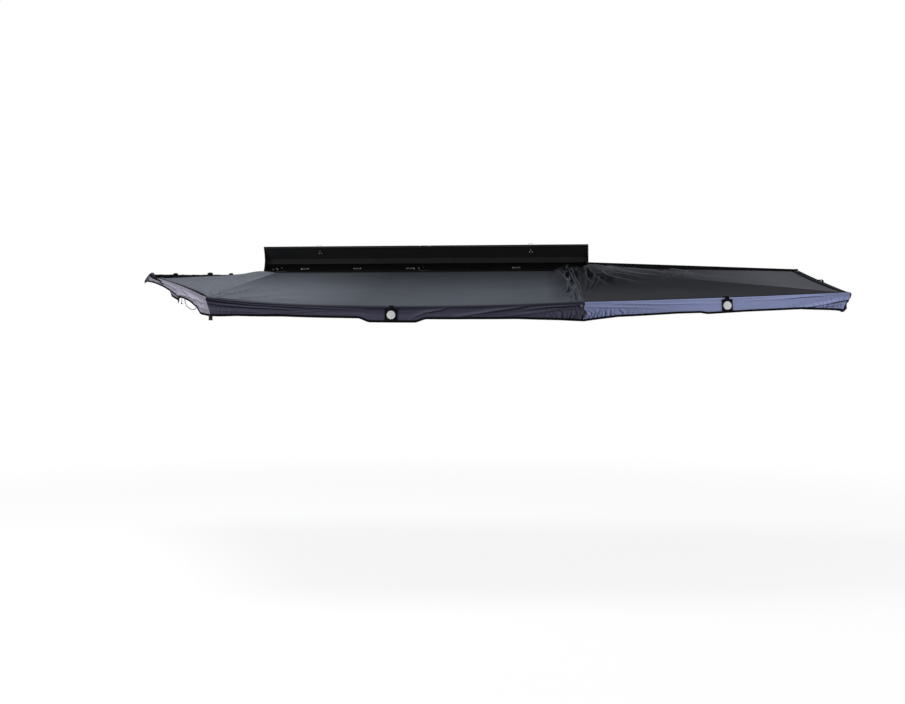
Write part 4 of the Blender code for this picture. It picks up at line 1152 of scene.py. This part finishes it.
for edge, (share, wide, tall) in PATCHES.items():
    middle = -PATCH_TOP - tall / 2
    reach = 0.030 if edge == "rear" else 0.052
    parts = [((wide, 0.0022, tall), (0, PATCH_OUT, middle), 0.0008)]
    for end in (-1, 1):
        parts += [((wide - 0.006, 0.0034, 0.0016), (0, PATCH_OUT, middle + end * (tall / 2 - 0.004)), 0.0005),
                  ((0.0016, 0.0034, tall - 0.008), (end * (wide / 2 - 0.003), PATCH_OUT, middle), 0.0005)]
    parts += [((STRAP_WIDE, STRAP_THICK, 0.030), (0, PATCH_OUT + 0.0002, -0.0100), 0.0005),
              ((STRAP_WIDE, reach, STRAP_THICK), (0, PATCH_OUT - reach / 2 + 0.0008, 0.0062), 0.0005),
              ((STRAP_WIDE + 0.005, 0.008, 0.018), (0, PATCH_OUT + 0.0010, -0.0055), 0.0014)]
    middle_out = PATCH_OUT - reach / 2
    if edge == "rear":
        parts.append(((STRAP_WIDE + 0.002, reach - 0.004, 0.0040), (0, middle_out, 0.0036), 0.0010))
    else:
        parts.append(((STRAP_WIDE + 0.004, 0.016, 0.004), (0, middle_out + 0.004, 0.0084), 0.0012))
    work = bmesh.new()
    blocks(work, edge_frame(edge, share), parts)
    piece = hard_piece(f"strap_{edge}", work, WEBBING, GATHER[GROUP[edge]][0])
    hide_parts(f"edge_strap_{edge}")
    gather(piece)
print("straps with a patch", len(PATCHES))

# %% [markdown]
# ## The front strap
# It is sewn on behind its valance. Its buckled end and its tail show below the hem.

# %% Front strap
# For each share of the way along the edge, the boxes that hang there
FRONT_STRAP = {
    0.490: (((0.021, 0.0018, 0.062), (0, 0.0022, -0.043), 0.0005),
            ((0.050, 0.0022, 0.038), (0, 0.0022, -0.091), 0.0008),
            ((0.034, 0.0060, 0.012), (0, 0.0024, -0.104), 0.0015),
            ((0.012, 0.0030, 0.014), (0.010, 0.0024, -0.116), 0.0008)),
    0.520: (((0.168, 0.0018, 0.021), (0, 0.0022, -0.024), 0.0005),),
    0.548: (((0.014, 0.0018, 0.102), (0, 0.0024, -0.065), 0.0005),
            ((0.022, 0.0060, 0.010), (0, 0.0026, -0.112), 0.0014)),
}
work = bmesh.new()
for share, parts in FRONT_STRAP.items():
    blocks(work, edge_frame("front", share), parts)
front_strap = hard_piece("strap_front", work, WEBBING, "arm_b")
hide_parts("edge_strap_front")
gather(front_strap)
print("front strap boxes", sum(len(parts) for parts in FRONT_STRAP.values()))

# %% [markdown]
# ## The discs
# Each patch that faces the viewer carries a plain pale disc: a flat dish inside a raised ring. Half
# of its section is drawn once and spun round.

# %% Discs
DISC_RADIUS = 0.0245
TO_Y = Matrix.Rotation(-math.pi / 2, 4, "X")


def turned(profile, sides=48):
    """Spins a half profile of (radius, height) once round Z and closes its seam."""
    work = bmesh.new()
    verts = [work.verts.new((r, 0, z)) for r, z in profile]
    edges = [work.edges.new(pair) for pair in zip(verts, verts[1:])]
    bmesh.ops.spin(work, geom=verts + edges, cent=(0, 0, 0), axis=(0, 0, 1), angle=math.tau, steps=sides,
                   use_merge=True)
    bmesh.ops.remove_doubles(work, verts=work.verts, dist=1e-6)
    return work


for edge in ("side", "corner"):
    share, _, tall = PATCHES[edge]
    disc = turned([(0, 0), (DISC_RADIUS, 0), (DISC_RADIUS, 0.0016), (DISC_RADIUS - 0.0012, 0.0026),
                   (DISC_RADIUS - 0.0036, 0.0026), (DISC_RADIUS - 0.0046, 0.0018), (0.0055, 0.0018),
                   (0.0045, 0.0024), (0, 0.0026)])
    upright = Matrix.Translation((0, PATCH_OUT + 0.0010, -PATCH_TOP - tall / 2)) @ TO_Y
    gather(hard_piece(f"disc_{edge}", disc, PALE_RUBBER, GATHER[GROUP[edge]][0],
                      edge_frame(edge, share) @ upright, 30))
print("discs of", DISC_RADIUS * 2, "m")

# %% [markdown]
# ## The cord under the front edge
# A thin grey cord hangs in a loop from the front valance, tied at both ends. It is limp, so its
# curve is what its weight makes of it, between two eyelets.

# %% Cord line
CORD_DIAMETER = 0.005
CORD_OUT = 0.016
CORD_POINTS = ((0.628, 0.056), (0.640, 0.083), (0.664, 0.103), (0.703, 0.112), (0.749, 0.113),
               (0.812, 0.104), (0.850, 0.088), (0.868, 0.074))


def smooth_line(points, count):
    """Evenly spread points on a smooth curve through the given ones."""
    fine = []
    for i in range(len(points) - 1):
        before, p, q = points[max(i - 1, 0)], points[i], points[i + 1]
        after = points[min(i + 2, len(points) - 1)]
        for u in np.arange(12) / 12:
            fine.append(p * (2 * u**3 - 3 * u**2 + 1) + (q - before) * 0.5 * (u**3 - 2 * u**2 + u)
                        + q * (3 * u**2 - 2 * u**3) + (after - p) * 0.5 * (u**3 - u**2))
    fine.append(points[-1])
    fine = np.array(fine)
    run = np.concatenate(([0], np.cumsum(np.linalg.norm(np.diff(fine, axis=0), axis=1))))
    goal = np.linspace(0, run[-1], count)
    return np.stack([np.interp(goal, run, fine[:, i]) for i in range(3)], 1), float(run[-1])


cord_out = outward("front") * CORD_OUT
cord_route = [rim("front", share)[0] + cord_out + DOWN * drop for share, drop in CORD_POINTS]
cord_line, cord_long = smooth_line(cord_route, 90)
print("cord", round(cord_long, 3), "m")

# %% Cord
def tube_mesh(name, line, radius, sides=12):
    """A closed tube whose rings stand square to the line, with a UV map in metres."""
    line = np.asarray(line)
    run = np.concatenate(([0], np.cumsum(np.linalg.norm(np.diff(line, axis=0), axis=1))))
    ahead = np.gradient(line, axis=0)
    ahead /= np.linalg.norm(ahead, axis=1)[:, None]
    side = np.cross(ahead, (0.31, 0.17, 0.93))
    side /= np.linalg.norm(side, axis=1)[:, None]
    up = np.cross(side, ahead)

    def place(s, t):
        at, places = s * (len(line) - 1), np.arange(len(line))
        turn = t * math.tau
        mid, first, second = (np.stack([np.interp(at, places, array[:, i]) for i in range(3)], 1)
                              for array in (line, side, up))
        return mid + first * (radius * np.cos(turn))[:, None] + second * (radius * np.sin(turn))[:, None]

    mesh = sheet_mesh(name, len(line) - 1, sides, place, (float(run[-1]), radius * math.tau))
    work = bmesh.new()
    work.from_mesh(mesh)
    bmesh.ops.remove_doubles(work, verts=work.verts, dist=radius * 0.02)
    bmesh.ops.holes_fill(work, edges=[e for e in work.edges if e.is_boundary], sides=sides + 4)
    bmesh.ops.recalc_face_normals(work, faces=work.faces)
    work.to_mesh(mesh)
    work.free()
    return mesh


loop = dress("hanging_cord", tube_mesh("hanging_cord", cord_line, CORD_DIAMETER / 2), CORD, "arm_b")
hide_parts("front_cord")
gather(loop)
print("cord points", len(loop.data.vertices))

# %% [markdown]
# ## Small fasteners
# Rivets and bolts are tiny, but they catch the light. The same small head is built at every place,
# and all heads of a kind make one mesh.

# %% Rivets in the lid
def group(name, places, build, material, body):
    """One mesh with the same small thing at every place."""
    work = bmesh.new()
    for place in places:
        build(work, place)
    return hard_piece(name, work, material, body)


def cone(work, place, base, foot, top, tall, sides):
    """A closed cone or cylinder that stands on a height above a place, along its z."""
    bmesh.ops.create_cone(work, cap_ends=True, segments=sides, radius1=foot, radius2=top, depth=tall,
                          matrix=place @ Matrix.Translation((0, 0, base + tall / 2)))


def rivets(name, places, radius, tall, body="lid", sides=12):
    """Low heads that narrow towards their top."""
    group(name, places, lambda work, place: cone(work, place, 0, radius, radius * 0.45, tall, sides),
          ZINC, body)


LID_Y, LID_Z, LID_DEPTH, LID_WALL = -0.0545, 0.0988, 0.085, 0.0025
LID_LINE = [(LID_Y, LID_Z + LID_WALL), (LID_Y + 0.052, LID_Z + LID_WALL),
            (LID_Y + LID_DEPTH - LID_WALL, LID_Z + 0.062), (LID_Y + LID_DEPTH - LID_WALL, LID_Z + 0.098),
            (LID_Y + 0.013, LID_Z + 0.174), (LID_Y + 0.002, LID_Z + 0.174)]


def on_lid(x, face, share):
    """A frame on the lid's inner face: z stands off it, into the hollow."""
    low, high = Vector(LID_LINE[face]), Vector(LID_LINE[face + 1])
    along = (high - low).normalized()
    return frame_of((1, 0, 0), (0, *along), (0, -along.y, along.x), (x, *low.lerp(high, share)))


# Rivets of the latches and of the hinges: steps along X from the fitting, and shares up the face
LATCH_RIVETS = ((0, 0.70), (-0.009, 0.50), (0.009, 0.50))
HINGE_RIVETS = ((-0.078, 0.20), (-0.050, 0.36), (-0.042, 0.20), (-0.010, 0.44))
LATCH_X, HINGE_X = (-0.80, 0.80), (-1.09, 0.0, 1.09)
lid_rivets = [on_lid(x + dx, 3, share) for x in LATCH_X for dx, share in LATCH_RIVETS]
lid_rivets += [on_lid(x + dx, 1, share) for x in HINGE_X for dx, share in HINGE_RIVETS]
rivets("lid_rivets", lid_rivets, 0.0036, 0.0022)
print("lid rivets", len(lid_rivets))

# %% [markdown]
# ## Webbing, liner and edging in the lid
# Flat loops of webbing tie the rolled canopy down. A strip of dark felt lines the lid, and a rubber
# edging of two thin strips covers its lower rim.

# %% Lid lining
LOOP_X = (-0.92, -0.515, -0.11, 0.69)
LOOP_ENDS = (-0.026, 0.026)
LOOP_SHARE = 0.27


def strap_loop(work, place):
    """A flat loop of webbing, with both ends under a rivet."""
    feet = [((0.012, 0.012, 0.0044), (end, 0, 0.0022), 0.0006) for end in LOOP_ENDS]
    blocks(work, place, [((0.060, 0.012, 0.0016), (0, 0, 0.0045), 0.0006), *feet])


def liner(work, place):
    blocks(work, place, [((2.442, 0.060, 0.0008), (0, 0, 0.0007), 0.0002)])


def edging(work, place):
    """Two thin strips that meet at the rim."""
    blocks(work, place, [((2.444, 0.0012, 0.0125), (0, -0.0008, -0.0044), 0.0003),
                         ((2.444, 0.012, 0.0010), (0, 0.0052, 0.0008), 0.0003)])


loops = [on_lid(x, 1, LOOP_SHARE) for x in LOOP_X]
group("lid_strap_loops", loops, strap_loop, GREY_WEBBING, "lid")
loop_rivets = [loop @ Matrix.Translation((dx, 0, 0.0052)) for loop in loops for dx in LOOP_ENDS]
rivets("loop_rivets", loop_rivets, 0.0030, 0.0016)
group("lid_liner", [on_lid(0, 1, 0.50)], liner, FELT, "lid")
rim_of_lid = Matrix.Translation((0, LID_Y - 0.0004, LID_Z + LID_WALL))
group("lid_edging", [rim_of_lid], edging, RUBBER, "lid")
lip_rivets = [Matrix.Translation((x, -0.0530, 0.2768)) @ TO_Y.inverted() for x in (-0.022, 0.055)]
rivets("lip_rivets", lip_rivets, 0.0034, 0.0014)
print("webbing loops", len(LOOP_X))

# %% [markdown]
# ## Bolts and screws of the case
# Zinc-plated hexagon bolts with washers hold the rack brackets and the hubs. Two low screws hold
# each end cap.

# %% Bolts and screws
SIDES = (-1, 1)
BOLT_X = [x + side * 0.032 for x in (-0.90, 0.0, 0.90) for side in SIDES]


def hex_bolt(work, place):
    """A washer and a six-sided head, along the matrix's z."""
    cone(work, place, 0, 0.0085, 0.0085, 0.0016, 24)
    cone(work, place, 0.0016, 0.0072, 0.0068, 0.0052, 6)


rack_bolts = [Matrix.Translation((x, 0.0063, -0.055)) @ TO_Y for x in BOLT_X]
group("rack_bolts", rack_bolts, hex_bolt, ZINC, "case")
hub_bolts = [Matrix.Translation((side * HUB_X, 0.0002, z)) @ TO_Y for side in SIDES for z in (-0.020, 0.020)]
group("hub_bolts", hub_bolts, hex_bolt, ZINC, "case")
cap_screws = [Matrix.Translation((side * 1.2293, -0.027, z)) @ Matrix.Rotation(side * math.pi / 2, 4, "Y")
              for side in SIDES for z in (-0.080, 0.080)]
rivets("cap_screws", cap_screws, 0.0048, 0.0024, "case", 16)
print("bolts", len(rack_bolts) + len(hub_bolts), "screws", len(cap_screws))

# %% [markdown]
# ## Straps on the short front arm
# Three short straps with buckles are wrapped round the short arm and its sleeve.

# %% Arm straps
# Each strap: its place along the arm, its width, and the width and height of its buckle
ARM_STRAPS = ((0.296, 0.022, 0.022, 0.006), (0.459, 0.028, 0.026, 0.010), (0.730, 0.024, 0.022, 0.008))
HALF_WIDE, HALF_TALL, BAND_THICK, SLEEVE_RISE = 0.0225, 0.0240, 0.0018, 0.009

work = bmesh.new()
for reach, wide, knob_wide, knob_tall in ARM_STRAPS:
    around = (wide, 2 * (HALF_WIDE + BAND_THICK), BAND_THICK)
    top = HALF_TALL + BAND_THICK
    parts = [(around, (0, 0, HALF_TALL + BAND_THICK / 2), 0.0005),
             (around, (0, 0, SLEEVE_RISE - HALF_TALL - BAND_THICK / 2), 0.0005)]
    flank = (wide, BAND_THICK, 2 * HALF_TALL - SLEEVE_RISE)
    parts += [(flank, (0, side * (HALF_WIDE + BAND_THICK / 2), SLEEVE_RISE / 2), 0.0005) for side in SIDES]
    parts += [((wide * 1.35, knob_wide, knob_tall), (0, 0, top + knob_tall / 2), 0.0022),
              ((wide * 0.8, knob_wide * 0.6, knob_tall * 0.5), (0, 0, top + knob_tall * 1.15), 0.0012)]
    blocks(work, arm_frame("a") @ Matrix.Translation((reach, 0, 0)), parts)
hard_piece("arm_straps", work, WEBBING, "arm_a")
print("arm straps", len(ARM_STRAPS))

# %% [markdown]
# ## Corner fittings
# Each corner has its own ending. The corner over arm B ends in a peg. The one over arm D has a dark
# piped seam and a cap, the arm behind it a cap too, and over arm C a small metal buckle draws the
# cloth together.

# %% Corner fittings
PIPING_WIDE = 0.007


def valance_point(edge, share, depth):
    return Vector(valance_place(edge, np.array([share]), np.array([depth]))[0])


def piping(s, t):
    share = 1 - t * (PIPING_WIDE / edge_length("corner"))
    return valance_place("corner", share, 0.08 + 0.92 * s) + outward("corner") * 0.0014


ribbon("corner_piping_d", 24, piping, (0.1, PIPING_WIDE), "rear", 0.0016)

peg_at = Matrix.Translation(valance_point("side", 0.0, 1.0) + Vector((0.000, -0.002, -0.012)))
work = bmesh.new()
cone(work, peg_at, -0.013, 0.0100, 0.0120, 0.026, 16)
cone(work, peg_at, -0.016, 0.0125, 0.0125, 0.006, 16)
gather(hard_piece("corner_peg_b", work, NYLON, "case"))

cap_d = valance_point("corner", 1.0, 1.0) + Vector((-0.008, -0.001, 0.0))
cap_e = Vector(CORNER["e"]) + Vector((-0.004, -0.010, -0.004))
keeper = valance_point("side", 0.9915, 0.24) + Vector(outward("side") * 0.004)
buckle = keeper + Vector((0.001, -0.0035, 0.001))
MIDDLE = (0, 0, 0)
BARS = [((0.016, 0.003, 0.0035), (0, 0, z), 0.0008) for z in (0.0045, -0.0045)]
# Each fitting: its place, its turn about Y, its boxes, its finish and slot, and its gather group
FITTINGS = {
    "corner_cap_d": (cap_d, 0, [((0.020, 0.012, 0.014), MIDDLE, 0.003)], NYLON, "tip_nylon", "rear"),
    "corner_cap_e": (cap_e, 0, [((0.026, 0.040, 0.018), MIDDLE, 0.004)], NYLON, "tip_nylon", "rear"),
    "corner_keeper_c": (keeper, 0, [((0.022, 0.004, 0.018), MIDDLE, 0.0012)], WEBBING, "webbing", "side"),
    "corner_buckle_c": (buckle, 0.6, BARS, ZINC, "zinc_steel", "side"),
}
for name, (place, turn, parts, finish, slot, where) in FITTINGS.items():
    work = bmesh.new()
    blocks(work, Matrix.Translation(place) @ Matrix.Rotation(turn, 4, "Y"), parts)
    gather(hard_piece(name, work, finish, GATHER[where][0]))
print("corner fittings", len(FITTINGS) + 2)

# %% [markdown]
# ## The front corner's flap and tie
# The front corner is tied to the short arm's end by a strap. The spare cloth turns round the corner
# as a small flap with a bound edge above and below. Its two edges are curves through three points.

# %% Corner flap and tie
FLAP_TOP = ((-2.048, -0.140, 0.068), (-2.084, -0.130, 0.084), (-2.139, -0.112, 0.026))
FLAP_FOOT = ((-2.020, -0.150, 0.014), (-2.078, -0.134, 0.031), (-2.141, -0.112, 0.014))


def bent(first, middle, last, share):
    """A curve through three points, the middle one being half way."""
    first, middle, last = (np.array(p) for p in (first, middle, last))
    share = share[:, None]
    handle = 2 * middle - (first + last) / 2
    return first * (1 - share) ** 2 + handle * (2 * share * (1 - share)) + last * share**2


def flap_place(s, t):
    top, foot = bent(*FLAP_TOP, s), bent(*FLAP_FOOT, s)
    return top + (foot - top) * t[:, None] + UP_Y * (0.003 * np.sin(s * 14 + t * 2))[:, None]


def flap_tone(s, t, points):
    # Painted shade: the flap is darker than its valance, most at its foot, in stripes along its waves
    return 0.42 - 0.15 * t + 0.1 * np.sin(s * 14)


def flap_binding(line):
    """The binding of one of the flap's edges, as a place function of its own."""
    return lambda s, t: bent(*line, s) + UP_Y * -0.0014 + UP_Z * ((0.5 - t) * 0.008)[:, None]


def tie_place(s, t):
    """A strap from the short arm's end, slanting down across the head of the valance."""
    head_line = rim("front", 0.018 + 0.225 * s) + outward("front") * 0.0175
    return head_line + UP_Z * (0.013 - 0.034 * s - (t - 0.5) * (0.024 - 0.008 * s))[:, None]


corner_flap = cloth("corner_flap", (24, 14), flap_place, (0.10, 0.05), flap_tone, VALANCE_PALE_LIT, "front",
                    (0, -1, 0))
gather(corner_flap)
for number, line in enumerate((FLAP_FOOT, FLAP_TOP)):
    ribbon(f"flap_binding_{number}", 24, flap_binding(line), (0.12, 0.008), "front", 0.0024)
ribbon("corner_tie_a", 30, tie_place, (0.6, 0.022), "front", 0.0018)
print("corner flap, two bindings and a tie")

# %% [markdown]
# ## Studio
# White surroundings, as in the photograph. Rays from the camera see white. Everything else sees a
# calmer level, so that the cloth keeps its colour and black stays black. Three large soft lamps, one
# above and one on each side of the camera, shape the folds.

# %% Light
world = bpy.data.worlds.new("studio")
world.use_nodes = True
scene.world = world
nodes, links = world.node_tree.nodes, world.node_tree.links
nodes.clear()


def background(colour, strength):
    node = nodes.new("ShaderNodeBackground")
    node.inputs["Color"].default_value = (*colour, 1)
    node.inputs["Strength"].default_value = strength
    return node.outputs[0]


paths = nodes.new("ShaderNodeLightPath")
seen = nodes.new("ShaderNodeMath")
seen.operation = "MAXIMUM"
blend = nodes.new("ShaderNodeMixShader")
links.new(paths.outputs["Is Camera Ray"], seen.inputs[0])
links.new(paths.outputs["Is Transmission Ray"], seen.inputs[1])
calm, white = background((0.93, 0.96, 1.0), 0.40), background((1, 1, 1), 1.0)
for source, socket in zip((seen.outputs[0], calm, white), blend.inputs):
    links.new(source, socket)
links.new(blend.outputs[0], nodes.new("ShaderNodeOutputWorld").inputs[0])


def lamp(name, place, aim, wide, watts):
    light = bpy.data.lights.new(name, "AREA")
    light.size = wide
    light.energy = watts
    made = bpy.data.objects.new(name, light)
    made.location = place
    made.rotation_euler = (Vector(aim) - Vector(place)).to_track_quat("-Z", "Y").to_euler()
    scene.collection.objects.link(made)


lamp("overhead", (-2.0, -2.0, 5.5), (0.3, -1.0, 0), 3.0, 420)
lamp("front_right", (6.0, -6.0, 1.2), (2.0, -1.8, 0), 2.0, 110)
lamp("front_left", (-5.5, -5.0, 1.6), (-0.5, -1.2, 0), 2.5, 210)

# %% [markdown]
# ## Floor
# The floor is pale, and the camera sees it glow, so that it keeps only a faint shadow. Three metres
# from the origin the glow starts to grow, and beyond eight metres only white is left.

# %% Floor
FLOOR_Z = -1.905
FADE_FROM, FADE_TO = 3.0, 8.0

paint = Finish("pale_floor", Base_Color=(0.85, 0.85, 0.85, 1), Roughness=0.9, Specular_IOR_Level=0.1)
away = paint.node("VectorMath", "Value", {"operation": "LENGTH"}, i0=paint.node("TexCoord", "Object"))
fade = paint.node("MapRange", 0, {"interpolation_type": "SMOOTHSTEP"}, i0=away, i1=FADE_FROM, i2=FADE_TO,
                  i3=0.0, i4=1.0)
view_share = paint.node("LightPath", "Is Camera Ray") * (fade * 0.14 + 0.86)
glow = paint.node("Emission", Color=(1, 1, 1, 1), Strength=1.0)
lit = paint.node("MixShader", i0=view_share, i1=Wire(paint, paint.shader.outputs[0]), i2=glow)
paint.put(lit, paint.tree.nodes["Material Output"].inputs[0])

work = bmesh.new()
bmesh.ops.create_grid(work, x_segments=1, y_segments=1, size=60.0, matrix=Matrix.Translation((0, 0, FLOOR_Z)))
floor_mesh = bpy.data.meshes.new("floor")
work.to_mesh(floor_mesh)
work.free()
floor_mesh.materials.append(paint.material)
floor = bpy.data.objects.new("floor", floor_mesh)
scene.collection.objects.link(floor)
print("floor at", FLOOR_Z, "m")

# %% [markdown]
